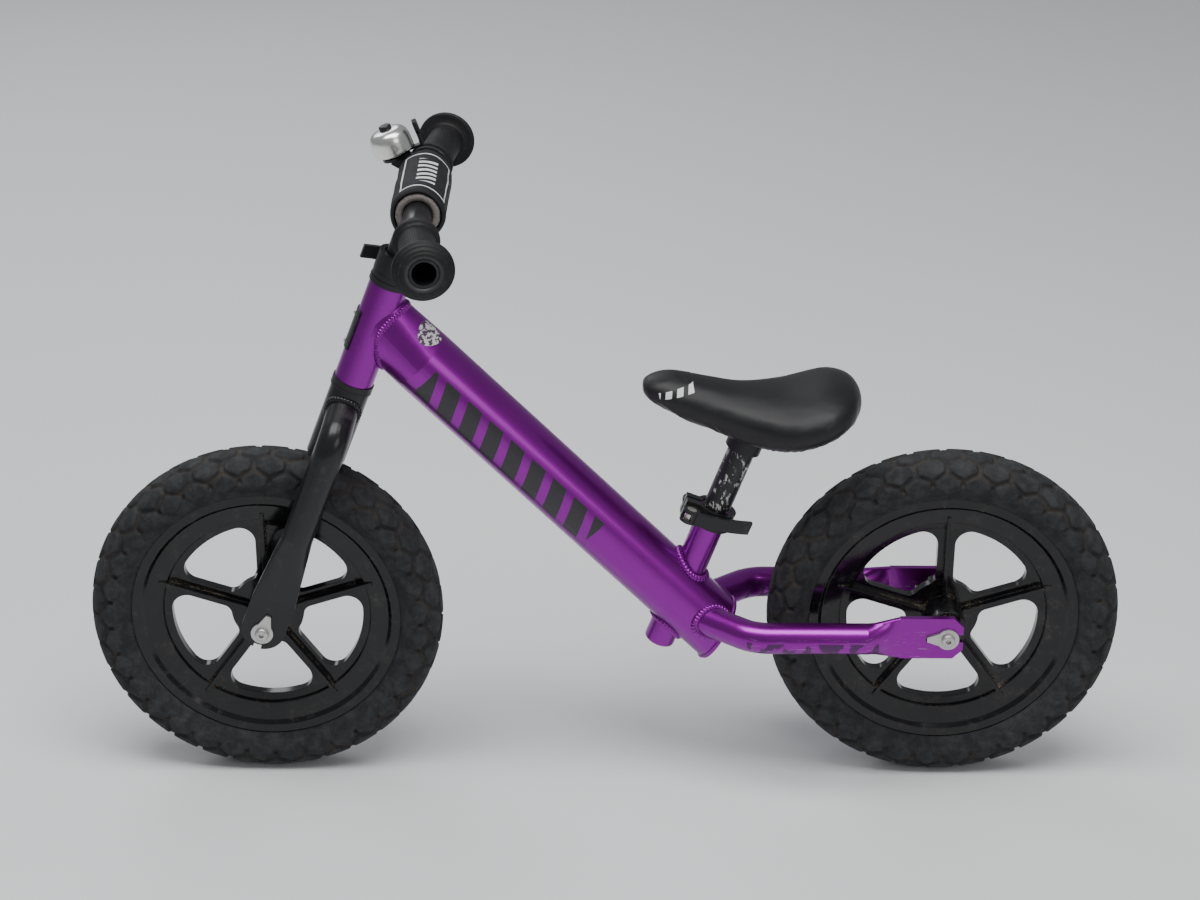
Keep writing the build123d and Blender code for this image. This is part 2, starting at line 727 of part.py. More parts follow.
# ---- Quick-release clamps: X of the base plane points to the ears, Y to the lever ----
def make_clamp(base, tube_diameter, tail_rise, name):
    middle = collar_height / 2
    collar_diameter = tube_diameter + 2 * collar_wall
    skewer_at = tube_diameter / 2 + skewer_from_tube
    ear_reach = skewer_at + ear_past_skewer
    cam_centre = (skewer_at, cam_pin_at)
    with BuildPart() as collar:
        with BuildSketch(base):
            Circle(collar_diameter / 2)
            with Locations((ear_reach / 2, 0)):
                Rectangle(ear_reach, 2 * ear_outside)
            Circle(tube_diameter / 2 + running, mode=Mode.SUBTRACT)
            with Locations((ear_reach, 0)):
                Rectangle(2 * ear_reach, clamp_slit, mode=Mode.SUBTRACT)
        extrude(amount=collar_height)
        hole_centre = base.from_local_coords((skewer_at, 0, middle))
        with BuildSketch(Plane(origin=hole_centre, x_dir=base.x_dir, z_dir=base.y_dir)):
            Circle(skewer_diameter / 2 + running)
        extrude(amount=2 * ear_outside, both=True, mode=Mode.SUBTRACT)
    save(collar, f"{name}_clamp_collar")

    with BuildPart() as skewer:
        rod_start = Plane(
            origin=base.from_local_coords((skewer_at, -ear_outside - clamp_nut_height, middle)),
            x_dir=base.x_dir,
            z_dir=base.y_dir,
        )
        with BuildSketch(rod_start):
            Circle(skewer_diameter / 2)
        extrude(amount=ear_outside + clamp_nut_height + cam_pin_at)
        with BuildSketch(base.offset(middle - lever_height / 2)):
            with Locations(cam_centre):
                Circle(cam_pin_diameter / 2)
        extrude(amount=lever_height)
    save(skewer, f"{name}_clamp_skewer")

    with BuildPart() as nut:
        with BuildSketch(rod_start):
            Circle(clamp_nut_diameter / 2)
            Circle(skewer_diameter / 2 + running, mode=Mode.SUBTRACT)
        extrude(amount=clamp_nut_height - slip)
    save(nut, f"{name}_clamp_nut")

    blade_line = collar_diameter / 2 + lever_thickness
    fork_gap = skewer_diameter + 4 * seam
    head_radius = cam_head_diameter / 2
    with BuildPart() as lever:
        with BuildSketch(base.offset(middle - lever_height / 2)):
            with Locations(cam_centre):
                Circle(head_radius)
            with BuildLine() as blade:
                Spline(
                    (skewer_at - 2, cam_pin_at + 2.5),
                    (skewer_at - 14, blade_line),
                    (skewer_at - 30, blade_line + 1),
                    (skewer_at - lever_reach, blade_line - 1.5),
                )
            trace(line_width=lever_thickness)
        extrude(amount=lever_height + abs(tail_rise), both=True)
        # the side view: level at the cam, then rising or falling to the tail
        lever_middle = base.from_local_coords((0, 0, middle))
        side_view = Plane(origin=lever_middle, x_dir=base.x_dir, z_dir=-base.y_dir)
        half_height = lever_height / 2
        tail_at = skewer_at - lever_reach - lever_thickness
        with BuildSketch(side_view):
            with BuildLine():
                Polyline(
                    (skewer_at + head_radius, half_height),
                    (skewer_at - head_radius, half_height),
                    (tail_at, half_height + tail_rise),
                    (tail_at, tail_rise - half_height),
                    (skewer_at - head_radius, -half_height),
                    (skewer_at + head_radius, -half_height),
                    close=True,
                )
            make_face()
        extrude(amount=2 * lever_reach, both=True, mode=Mode.INTERSECT)
        with BuildSketch(base.offset(middle - lever_height / 2)):
            with Locations(cam_centre):
                Circle(cam_pin_diameter / 2 + running)
            Circle(collar_diameter / 2 + 2 * seam)
            Rectangle(2 * ear_reach + 4 * seam, 2 * ear_outside + 4 * seam)
        extrude(amount=lever_height + abs(tail_rise), both=True, mode=Mode.SUBTRACT)
        with BuildSketch(base.offset(middle - fork_gap / 2)):
            with Locations((skewer_at - 1 + head_radius, cam_pin_at)):
                Rectangle(2 * head_radius, 4 * head_radius)
            with Locations((skewer_at, cam_pin_at - cam_slot_face - head_radius)):
                Rectangle(4 * head_radius, 2 * head_radius)
        extrude(amount=fork_gap, mode=Mode.SUBTRACT)
    save(lever, f"{name}_clamp_lever")


seat_collar_plane = seating.offset(seat_tube_above - collar_height + collar_overlap)
stem_collar_plane = Plane(
    origin=steering.offset(collar_start).origin,
    x_dir=-steering.x_dir,
    z_dir=steering.z_dir,
)
make_clamp(seat_collar_plane, seat_tube_diameter, seat_lever_rise, "seat")
make_clamp(stem_collar_plane, steerer_diameter, stem_lever_rise, "stem")

# ---- Handlebar ----
bar_middle = steering.offset(bar_station).origin
sweep_turn = radians(bar_back_sweep)
bar_leg = (bar_width / 2 - grip_past_bar - bar_bend_at) / cos(sweep_turn)
bar_end_x = bar_middle.X - bar_leg * sin(sweep_turn)
bar_end_y = bar_bend_at + bar_leg * cos(sweep_turn)


def bar_end_plane(side):
    """The plane of a bar end, facing out along the bar."""
    return Plane(
        origin=(bar_end_x, side * bar_end_y, bar_middle.Z),
        x_dir=(0, 0, 1),
        z_dir=(-sin(sweep_turn), side * cos(sweep_turn), 0),
    )


with BuildPart() as handlebar:
    with BuildLine() as bar_path:
        FilletPolyline(
            (bar_end_x, -bar_end_y, bar_middle.Z),
            (bar_middle.X, -bar_bend_at, bar_middle.Z),
            (bar_middle.X, bar_bend_at, bar_middle.Z),
            (bar_end_x, bar_end_y, bar_middle.Z),
            radius=bar_diameter,
        )
    with BuildSketch(bar_end_plane(-1)):
        Circle(bar_diameter / 2)
    sweep(path=bar_path.line)
    with BuildSketch(steering.offset(bar_station - stem_insertion)):
        Circle(bar_diameter / 2)
    extrude(amount=stem_insertion)
    with BuildSketch(steering.offset(bar_station - stem_insertion)):
        Circle(bar_bore / 2)
    extrude(amount=stem_insertion - bar_diameter / 2 - 1, mode=Mode.SUBTRACT)
    with BuildSketch(bar_end_plane(-1)):
        Circle(bar_bore / 2)
    sweep(path=bar_path.line, mode=Mode.SUBTRACT)
save(handlebar, "handlebar")

# Grip rings from the inner end: start, width, diameter
grip_rings = [
    (0, grip_length, grip_diameter),
    (0, grip_collar_width, grip_collar_diameter - 3),
    (grip_collar_width + 1.5, grip_collar_width, grip_collar_diameter),
    (grip_length - 10, 3.5, grip_flange_diameter),
    (grip_length - 6.5, 2.5, grip_flange_diameter - 3.4),
    (grip_length - 4, 2.5, grip_flange_diameter - 7.9),
    (grip_length - 1.5, 1.5, grip_flange_diameter - 13.4),
]


def make_grip(side):
    inner_end = bar_end_plane(side).offset(grip_past_bar - grip_length)
    with BuildPart() as piece:
        for start, width, diameter in grip_rings:
            with BuildSketch(inner_end.offset(start)):
                Circle(diameter / 2)
            extrude(amount=width)
        with BuildSketch(inner_end):
            Circle(bar_diameter / 2 + running)
        extrude(amount=grip_length, mode=Mode.SUBTRACT)
    return piece


save(make_grip(1), "grip_left")
save(make_grip(-1), "grip_right")

pad_plane = Plane(origin=(bar_middle.X, pad_far_end, bar_middle.Z), x_dir=(1, 0, 0), z_dir=(0, 1, 0))
foam_diameter = pad_diameter - 2 * pad_cover
with BuildPart() as bar_pad_foam:
    with BuildSketch(pad_plane):
        Circle(foam_diameter / 2 - seam)
        Circle(bar_diameter / 2 + seam, mode=Mode.SUBTRACT)
    extrude(amount=pad_near_end - pad_far_end)
    # the stem comes up through a notch in the underside
    with BuildSketch(steering.offset(bar_station - pad_diameter)):
        Circle(bar_diameter / 2 + 2 * seam)
    extrude(amount=pad_diameter, mode=Mode.SUBTRACT)
save(bar_pad_foam, "bar_pad_foam")

with BuildPart() as bar_pad_cover:
    with BuildSketch(pad_plane):
        Circle(pad_diameter / 2)
        Circle(foam_diameter / 2, mode=Mode.SUBTRACT)
    extrude(amount=pad_near_end - pad_far_end)
    with BuildSketch(steering.offset(bar_station - pad_diameter)):
        Circle(bar_diameter / 2 + 2 * seam)
    extrude(amount=pad_diameter, mode=Mode.SUBTRACT)
save(bar_pad_cover, "bar_pad_cover")

# ---- Bell, on the right-hand half of the bar ----
strap_centre = Vector(
    bar_middle.X - bell_from_bend * sin(sweep_turn),
    -bar_bend_at - bell_from_bend * cos(sweep_turn),
    bar_middle.Z,
)
bell_turn = radians(bell_lean)
bell_rim = Plane(
    origin=strap_centre + Vector(bell_ahead, 0, bell_above),
    x_dir=(cos(bell_turn), 0, -sin(bell_turn)),
    z_dir=(sin(bell_turn), 0, cos(bell_turn)),
)
bell_radius = bell_diameter / 2
bell_base_top = bell_base_thickness - bell_base_drop
bell_section_plane = Plane(origin=bell_rim.origin, x_dir=bell_rim.x_dir, z_dir=bell_rim.y_dir * -1)
strap_plane = Plane(origin=strap_centre, x_dir=(0, 0, 1), z_dir=(sin(sweep_turn), cos(sweep_turn), 0))
bracket_plane = Plane(origin=strap_centre, x_dir=(1, 0, 0), z_dir=(0, -1, 0))

with BuildPart() as bell_base:
    with BuildSketch(strap_plane):
        Circle(bell_strap_diameter / 2)
    extrude(amount=bell_strap_width / 2, both=True)
    with BuildSketch(bracket_plane):
        with BuildLine():
            Polyline((6, 10), (12, -6), (bell_ahead + 3, 4), (bell_ahead - 6, bell_above + 2), close=True)
        make_face()
    extrude(amount=bell_strap_width / 2, both=True)
    with BuildSketch(bell_rim.offset(bell_base_top)):
        Rectangle(4 * bell_diameter, 4 * bell_diameter)
    extrude(amount=bell_diameter, mode=Mode.SUBTRACT)
    with BuildSketch(bell_rim.offset(-bell_base_drop)):
        Circle(bell_base_diameter / 2)
    extrude(amount=bell_base_thickness)
    with BuildSketch(bell_rim.offset(bell_base_top)):
        with Locations((-bell_pivot_back, 0)):
            Circle(bell_pivot_radius)
    extrude(amount=-bell_base_top - bell_arm_drop)
    with BuildSketch(strap_plane):
        Circle(bar_diameter / 2 + running)
    extrude(amount=bell_diameter, both=True, mode=Mode.SUBTRACT)
save(bell_base, "bell_base")

with BuildPart() as bell_post:
    with BuildSketch(bell_rim.offset(bell_base_top)):
        Circle(bell_post_diameter / 2)
    extrude(amount=bell_height - bell_base_top + bell_cap_height / 2)
save(bell_post, "bell_post")

with BuildPart() as bell_dome:
    for inset, way in ((0, Mode.ADD), (bell_wall, Mode.SUBTRACT)):
        with BuildSketch(bell_section_plane):
            with BuildLine():
                Polyline(
                    (0, 0),
                    (bell_radius - inset, 0),
                    (bell_radius - inset, bell_height - bell_shoulder),
                    (bell_radius - bell_shoulder, bell_height - inset),
                    (0, bell_height - inset),
                    close=True,
                )
            make_face()
        revolve(axis=Axis(bell_rim.origin, bell_rim.z_dir), mode=way)
    with BuildSketch(bell_rim):
        Circle(bell_post_diameter / 2 + running)
    extrude(amount=2 * bell_height, mode=Mode.SUBTRACT)
save(bell_dome, "bell_dome")

with BuildPart() as bell_cap:
    with BuildSketch(bell_rim.offset(bell_height + running)):
        Circle(bell_cap_diameter / 2)
    extrude(amount=bell_cap_height)
    fillet(bell_cap.faces().sort_by(Axis(bell_rim.origin, bell_rim.z_dir))[-1].edges(), radius=1.6)
    with BuildSketch(bell_rim.offset(bell_height)):
        Circle(bell_post_diameter / 2 + running)
    extrude(amount=bell_cap_height / 2 + running, mode=Mode.SUBTRACT)
save(bell_cap, "bell_cap")

arm_plane = bell_rim.offset(-bell_arm_drop - bell_arm_thickness)
with BuildPart() as bell_lever:
    with BuildSketch(arm_plane):
        with Locations((-bell_pivot_back, 0)):
            Circle(bell_pivot_radius + bell_pivot_lip)
        with Locations((-(bell_pivot_back + thumb_reach) / 2, 0)):
            Rectangle(thumb_reach - bell_pivot_back + 2, thumb_width)
        with BuildLine():
            Polyline(
                (-bell_pivot_back, 0),
                (3 - bell_pivot_back, striker_aside),
                (striker_ahead, striker_aside),
            )
        trace(line_width=bell_arm_width)
        with Locations((-bell_pivot_back, 0)):
            Circle(bell_pivot_radius + running, mode=Mode.SUBTRACT)
    extrude(amount=bell_arm_thickness)
    with BuildSketch(arm_plane):
        with Locations((striker_ahead, striker_aside)):
            Circle(striker_radius)
    extrude(amount=3 * bell_arm_thickness)
    with BuildSketch(arm_plane):
        with Locations((-thumb_reach, 0)):
            Rectangle(bell_arm_thickness, thumb_width)
    extrude(amount=thumb_rise)
    thumb_plane = Plane(
        origin=arm_plane.from_local_coords((-thumb_reach - bell_arm_thickness, 0, thumb_rise)),
        x_dir=bell_rim.z_dir,
        z_dir=bell_rim.x_dir,
    )
    with BuildSketch(thumb_plane):
        SlotOverall(thumb_length, thumb_width + 2)
    extrude(amount=1.5 * bell_arm_thickness)
save(bell_lever, "bell_lever")

# ---- Seat ----
anchor = seating.offset(seat_anchor).origin


def station_plane(ahead, rise):
    """A plane across the seat, with X to the left and Y up."""
    return Plane(origin=(anchor.X + ahead, 0, anchor.Z + rise), x_dir=(0, 1, 0), z_dir=(1, 0, 0))


def underside_band(low, high, margin, share=shell_share):
    """Sections of a band that follows the seat's underside, from low to high above it."""
    sections = []
    for ahead, half_width, half_height, rise in seat_stations[2:-1]:
        band_middle = rise - half_height + (low + high) / 2
        with BuildSketch(station_plane(ahead, band_middle)) as band:
            Rectangle(2 * (share * half_width + margin), high - low)
        sections.append(band.sketch)
    return sections


with BuildPart() as seat_pad:
    for ahead, half_width, half_height, rise in seat_stations:
        with BuildSketch(station_plane(ahead, rise)):
            Ellipse(half_width, half_height)
    loft()
    loft(underside_band(-shell_cut_depth, shell_inset + shell_thickness + seam, seam), mode=Mode.SUBTRACT)
save(seat_pad, "seat_pad")

with BuildPart() as seat_shell:
    with BuildSketch(seating.offset(boss_foot)):
        Circle(boss_diameter / 2)
    extrude(amount=boss_length)
    above_shell = underside_band(
        shell_inset + shell_thickness / 2, boss_length + shell_thickness, 0, share=1.3
    )
    loft(above_shell, mode=Mode.SUBTRACT)
    loft(underside_band(shell_inset, shell_inset + shell_thickness, 0))
    with BuildSketch(seating.offset(boss_foot)):
        Circle(post_diameter / 2 + running)
    extrude(amount=post_top - boss_foot, mode=Mode.SUBTRACT)
save(seat_shell, "seat_shell")

with BuildPart() as seat_post:
    with BuildSketch(seating.offset(post_foot)):
        Circle(post_diameter / 2)
        Circle(post_bore / 2, mode=Mode.SUBTRACT)
    extrude(amount=post_top - post_foot)
save(seat_post, "seat_post")
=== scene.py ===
import json
import bpy
import bmesh
import numpy as np
from math import atan2, cos, pi, radians, sin, sqrt
from mathutils import Matrix, Vector
from mathutils.bvhtree import BVHTree


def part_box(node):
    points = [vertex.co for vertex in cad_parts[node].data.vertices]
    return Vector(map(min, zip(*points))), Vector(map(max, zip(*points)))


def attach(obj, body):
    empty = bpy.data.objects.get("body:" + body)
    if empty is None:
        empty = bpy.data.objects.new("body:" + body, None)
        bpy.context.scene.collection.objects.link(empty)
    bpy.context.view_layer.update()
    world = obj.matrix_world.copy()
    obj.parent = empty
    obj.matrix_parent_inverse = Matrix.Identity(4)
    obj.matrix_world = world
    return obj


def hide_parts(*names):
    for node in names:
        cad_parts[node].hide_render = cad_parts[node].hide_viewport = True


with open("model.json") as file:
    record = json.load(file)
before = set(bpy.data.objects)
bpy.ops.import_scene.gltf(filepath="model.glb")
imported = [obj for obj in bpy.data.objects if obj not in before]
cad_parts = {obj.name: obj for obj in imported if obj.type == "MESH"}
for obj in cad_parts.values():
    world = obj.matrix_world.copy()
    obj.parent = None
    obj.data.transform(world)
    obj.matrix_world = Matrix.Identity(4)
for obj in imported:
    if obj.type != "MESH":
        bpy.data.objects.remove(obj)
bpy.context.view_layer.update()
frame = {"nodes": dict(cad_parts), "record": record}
print("frame loaded")

# the bike's main lines, in metres
bike = {
    "frontAxle": Vector((0.279, 0, 0.145)),
    "rearAxle": Vector((-0.279, 0, 0.145)),
    "headLean": radians(20.7),
    "headStart": 0.222,
    "barStation": 0.3827,
    "barBend": 0.070,
    "barSweep": radians(8.7),
    "barHalf": 0.155,
    "mainAboveHeadStart": 0.056,
    "mainEnd": Vector((0.186, 0, -0.0154)),
}
steerUp = Vector((-sin(bike["headLean"]), 0, cos(bike["headLean"])))
barMiddle = bike["frontAxle"] + steerUp * bike["barStation"]
mainTop = bike["frontAxle"] + steerUp * (bike["headStart"] + bike["mainAboveHeadStart"])
mainEnd = bike["rearAxle"] + bike["mainEnd"]
mainWay = (mainEnd - mainTop).normalized()
mainUp = Vector((-mainWay.z, 0, mainWay.x))
if mainUp.z < 0:
    mainUp = -mainUp

# camera, light and floor
camera = {
    "place": (-0.00245, 1.92916, 1.20436),
    "lens": 79.51,
    "sensor": 36,
    "rise": radians(25.329),
    "turn": radians(-0.206),
    "roll": radians(0.211),
}


def placeCamera():
    rise, turn, roll = camera["rise"], camera["turn"], camera["roll"]
    back = Vector((sin(turn) * cos(rise), cos(turn) * cos(rise), sin(rise)))
    side = Vector((-cos(turn), sin(turn), 0))
    up = back.cross(side)
    right = side * cos(roll) + up * sin(roll)
    above = up * cos(roll) - side * sin(roll)
    lens = bpy.data.cameras.new("camera")
    lens.lens = camera["lens"]
    lens.sensor_width = camera["sensor"]
    lens.sensor_fit = "HORIZONTAL"
    lens.clip_start = 0.01
    made = bpy.data.objects.new("camera", lens)
    bpy.context.scene.collection.objects.link(made)
    turned = Matrix((right, above, back)).transposed().to_4x4()
    made.matrix_world = Matrix.Translation(camera["place"]) @ turned
    bpy.context.scene.camera = made


def areaLight(name, place, target, size, power, colour=(1, 1, 1)):
    data = bpy.data.lights.new(name, "AREA")
    data.shape = "RECTANGLE"
    data.size, data.size_y = size
    data.energy = power
    data.color = colour
    made = bpy.data.objects.new(name, data)
    bpy.context.scene.collection.objects.link(made)
    made.location = place
    aim = Vector(target) - Vector(place)
    made.rotation_euler = aim.to_track_quat("-Z", "Y").to_euler()


placeCamera()
areaLight("skyPanel", (0.1, 0.5, 2.4), (0, 0, 0.2), (2.4, 1.1), 62)
areaLight("nearPanel", (-1.6, 2.2, 1.5), (0, 0, 0.25), (1.2, 1.2), 12, (1, 0.98, 0.95))
areaLight("farPanel", (1.2, -2.0, 1.7), (0, 0, 0.25), (1.6, 1.0), 16, (0.95, 0.97, 1))
world = bpy.data.worlds.new("room")
bpy.context.scene.world = world
world.use_nodes = True
backdrop = world.node_tree.nodes["Background"]
backdrop.inputs["Color"].default_value = (0.86, 0.89, 0.93, 1)
backdrop.inputs["Strength"].default_value = 0.3


# materials
class Value:
    # one socket in a material, so that shader maths can be written as sums
    def __init__(self, finish, socket):
        self.finish = finish
        self.socket = socket

    def maths(self, operation, *others):
        return self.finish.maths(operation, self, *others)

    def __add__(self, other):
        return self.maths("ADD", other)

    def __sub__(self, other):
        return self.maths("SUBTRACT", other)

    def __rsub__(self, other):
        return self.finish.maths("SUBTRACT", other, self)

    def __mul__(self, other):
        return self.maths("MULTIPLY", other)

    def __truediv__(self, other):
        return self.maths("DIVIDE", other)

    def __gt__(self, other):
        return self.maths("GREATER_THAN", other)

    def __lt__(self, other):
        return self.maths("LESS_THAN", other)

    __radd__ = __add__
    __rmul__ = __mul__


class Finish:
    def __init__(self, name, colour, rough, metal=0.0, coat=0.0):
        self.material = bpy.data.materials.new(name)
        self.material.use_nodes = True
        self.tree = self.material.node_tree
        self.shader = self.tree.nodes["Principled BSDF"]
        self.set("Base Color", (*colour, 1))
        self.set("Roughness", rough)
        self.set("Metallic", metal)
        self.set("Coat Weight", coat)
        self.set("Coat Roughness", 0.12)

    def set(self, socket, value):
        if isinstance(value, Value):
            self.tree.links.new(value.socket, self.shader.inputs[socket])
        else:
            self.shader.inputs[socket].default_value = value

    def node(self, kind, settings=None, sockets=None, out=0):
        made = self.tree.nodes.new("ShaderNode" + kind)
        for key, value in (settings or {}).items():
            setattr(made, key, value)
        for key, value in (sockets or {}).items():
            if isinstance(value, Value):
                self.tree.links.new(value.socket, made.inputs[key])
            else:
                made.inputs[key].default_value = value
        return Value(self, made.outputs[out])

    def maths(self, operation, *inputs):
        return self.node("Math", {"operation": operation}, dict(enumerate(inputs)))

    def mix(self, share, first, second):
        # a colour mix: its colour sockets are 6 and 7, and its colour output is 2
        first, second = ((*c, 1) if isinstance(c, tuple) else c for c in (first, second))
        return self.node("Mix", {"data_type": "RGBA"}, {0: share, 6: first, 7: second}, 2)

    def here(self):
        # object coordinates
        return self.node("TexCoord", out=3)

    def place(self, stretch=(1, 1, 1)):
        return self.node("Mapping", None, {"Vector": self.here(), "Scale": stretch})

    def noise(self, scale, detail=3.0, rough=0.55, where=None):
        sockets = {"Vector": where or self.place(), "Scale": scale, "Detail": detail,
                   "Roughness": rough}
        return self.node("TexNoise", None, sockets)

    def cells(self, scale, feature="F1"):
        sockets = {"Vector": self.place(), "Scale": scale}
        return self.node("TexVoronoi", {"feature": feature}, sockets)

    def fine(self, value, low, high):
        # spreads a noise between two edges, smoothly
        settings = {"interpolation_type": "SMOOTHSTEP"}
        return self.node("MapRange", settings, {0: value, 1: low, 2: high})

    def attribute(self, name):
        return self.node("Attribute", {"attribute_name": name}, out=2)

    def bump(self, height, distance, strength=1.0):
        sockets = {"Strength": strength, "Distance": distance, "Height": height}
        self.set("Normal", self.node("Bump", None, sockets))

    def alongLine(self, origin, way):
        # metres from origin along a direction
        moved = self.node("VectorMath", {"operation": "SUBTRACT"},
                          {0: self.here(), 1: tuple(origin)})
        return self.node("VectorMath", {"operation": "DOT_PRODUCT"}, {0: moved, 1: tuple(way)}, 1)


def paintedPurple():
    # satin anodised purple with printed black bars, a round badge and scuffs along the stays
    finish = Finish("framePurple", (0.30, 0.008, 0.34), 0.3, 0.9, 0.3)
    cloud = finish.noise(9, 4)
    grain = finish.noise(1400, 2)
    speck = finish.fine(finish.noise(260, 4, 0.7), 0.70, 0.76)
    purple = finish.mix(cloud, (0.21, 0.003, 0.25), (0.31, 0.006, 0.37))
    along = finish.alongLine(mainTop, mainWay)
    above = finish.alongLine(mainTop, mainUp)
    across = finish.alongLine(mainTop, (0, 1, 0))
    # slanted bars on both sides of the main tube
    inside = (along > 0.058) * (along < 0.246) * (above < 0.0095) * (above > -0.0175)
    step = (along + above * 0.5) / 0.0236
    phase = step.maths("FRACT")
    bar = (phase > 0.16) * (phase < 0.80)
    worn = finish.fine(finish.noise(420, 5, 0.7), 0.30, 0.36)
    sides = across.maths("ABSOLUTE") > 0.009
    printed = inside * bar * worn * sides
    # round badge on top, near the head
    forward = along - 0.036
    sideways = across - 0.009
    out = (forward * forward + sideways * sideways).maths("SQRT")
    disc = (out < 0.0105) * (above > 0.012)
    swirl = finish.fine(finish.noise(330, 3), 0.47, 0.53)
    # pale scratches and rubbed blocks along the lower side of the stays
    low = finish.alongLine((0, 0, 0), (0, 0, 1))
    ahead = finish.alongLine((0, 0, 0), (1, 0, 0))
    stay = (ahead > -0.27) * (ahead < -0.115) * (low < 0.152)
    stay = stay * (across.maths("ABSOLUTE") > 0.03)
    line = finish.noise(60, 5, 0.7, finish.place((1, 1, 26)))
    scratch = finish.fine(line, 0.60, 0.66) * stay
    blocks = finish.fine(finish.noise(150, 2, 0.4, finish.place((0.6, 1, 0.35))), 0.52, 0.55)
    rubbed = blocks * stay * (low < 0.1475) * (low > 0.1365) * (ahead > -0.225)
    colour = finish.mix(printed, purple, (0.012, 0.011, 0.014))
    badge = finish.mix(swirl, (0.62, 0.62, 0.60), (0.03, 0.03, 0.035))
    colour = finish.mix(disc * 0.9, colour, badge)
    colour = finish.mix(rubbed * 0.75, colour, (0.05, 0.03, 0.06))
    colour = finish.mix(scratch * 0.6, colour, (0.55, 0.45, 0.55))
    colour = finish.mix(speck * 0.35, colour, (0.5, 0.4, 0.45))
    finish.set("Base Color", colour)
    matte = printed + disc
    finish.set("Metallic", 0.9 - matte * 0.9 - scratch * 0.3)
    finish.set("Roughness", 0.27 + cloud * 0.09 + matte * 0.22 + scratch * 0.2 + rubbed * 0.25)
    finish.bump(grain, 0.00002, 0.35)
    return finish.material


def chippedBlack(name, shade, rough, chips, chipColour=(0.42, 0.36, 0.30), stretch=(1, 1, 1)):
    # semi-gloss black paint with pale chips and dust; fewer chips as chips rises
    finish = Finish(name, shade, rough, 0.0, 0.15)
    finish.set("Specular IOR Level", 0.28)
    where = finish.place(stretch)
    cloud = finish.noise(14, 4)
    chip = finish.fine(finish.noise(230, 6, 0.75, where), chips, chips + 0.035)
    dust = finish.fine(finish.noise(38, 6, 0.7), 0.56, 0.8)
    colour = finish.mix(cloud, shade, tuple(c * 1.9 + 0.003 for c in shade))
    colour = finish.mix(dust * 0.16, colour, (0.30, 0.27, 0.23))
    finish.set("Base Color", finish.mix(chip * 0.85, colour, chipColour))
    finish.set("Roughness", rough + cloud * 0.1 + dust * 0.2 + chip * 0.3)
    finish.bump(finish.noise(900, 3) - chip, 0.00005, 0.3)
    return finish.material


def glossyWheel():
    # glossy moulded black, dusty in its corners
    finish = Finish("wheelPlastic", (0.012, 0.012, 0.014), 0.2, 0.0, 0.2)
    finish.set("Specular IOR Level", 0.28)
    openness = finish.node("AmbientOcclusion", {"samples": 6}, {"Distance": 0.016}, 1)
    grit = finish.noise(520, 5, 0.75)
    patch = finish.fine(finish.noise(26, 4, 0.6), 0.45, 0.62)
    corner = finish.fine(openness, 0.62, 0.30) * finish.fine(grit, 0.46, 0.58) * patch
    film = finish.fine(finish.noise(70, 6, 0.75), 0.5, 0.78)
    colour = finish.mix(film * 0.14, (0.005, 0.005, 0.006), (0.22, 0.20, 0.17))
    finish.set("Base Color", finish.mix(corner * 0.8, colour, (0.36, 0.29, 0.20)))
    finish.set("Roughness", 0.12 + film * 0.22 + corner * 0.5)
    rounded = finish.node("Bevel", {"samples": 4}, {"Radius": 0.0012})
    sockets = {"Strength": 0.25, "Distance": 0.00004, "Height": grit, "Normal": rounded}
    finish.set("Normal", finish.node("Bump", None, sockets))
    return finish.material


def foamTyre():
    # matte foam rubber, dusty in the grooves and rubbed on the blocks
    finish = Finish("tyreFoam", (0.045, 0.047, 0.05), 0.82)
    finish.set("Specular IOR Level", 0.3)
    groove = finish.attribute("groove")
    cloud = finish.noise(16, 5, 0.6)
    pores = finish.noise(1500, 3, 0.7)
    crumbs = finish.fine(finish.noise(560, 6, 0.75), 0.60, 0.68)
    base = finish.mix(cloud, (0.010, 0.0105, 0.012), (0.023, 0.024, 0.027))
    rub = (1 - groove) * finish.fine(finish.noise(90, 5, 0.7), 0.35, 0.7)
    dust = groove * finish.fine(finish.noise(60, 5, 0.7), 0.35, 0.65) * 0.4
    colour = finish.mix(rub, base, (0.038, 0.039, 0.041))
    colour = finish.mix(dust, colour, (0.085, 0.070, 0.052))
    finish.set("Base Color", finish.mix(crumbs * 0.12, colour, (0.36, 0.31, 0.25)))
    finish.set("Roughness", 0.74 + cloud * 0.18)
    finish.bump(pores + crumbs * 0.6, 0.00018, 0.7)
    return finish.material


def plainMetal(name, shade, rough, rust, scale=500):
    # bright or dull metal with fine scratches and a little rust
    finish = Finish(name, shade, rough, 0.95)
    stain = finish.fine(finish.noise(130, 6, 0.75), 0.56, 0.70)
    fine = finish.noise(scale, 4, 0.7, finish.place((1, 6, 1)))
    darker = tuple(c * 0.82 for c in shade)
    lighter = tuple(min(1, c * 1.1) for c in shade)
    colour = finish.mix(fine, darker, lighter)
    finish.set("Base Color", finish.mix(stain * rust, colour, (0.20, 0.10, 0.045)))
    finish.set("Metallic", 0.95 - stain * rust * 0.7)
    finish.set("Roughness", rough + fine * 0.16 + stain * rust * 0.3)
    finish.bump(fine, 0.00003, 0.3)
    return finish.material


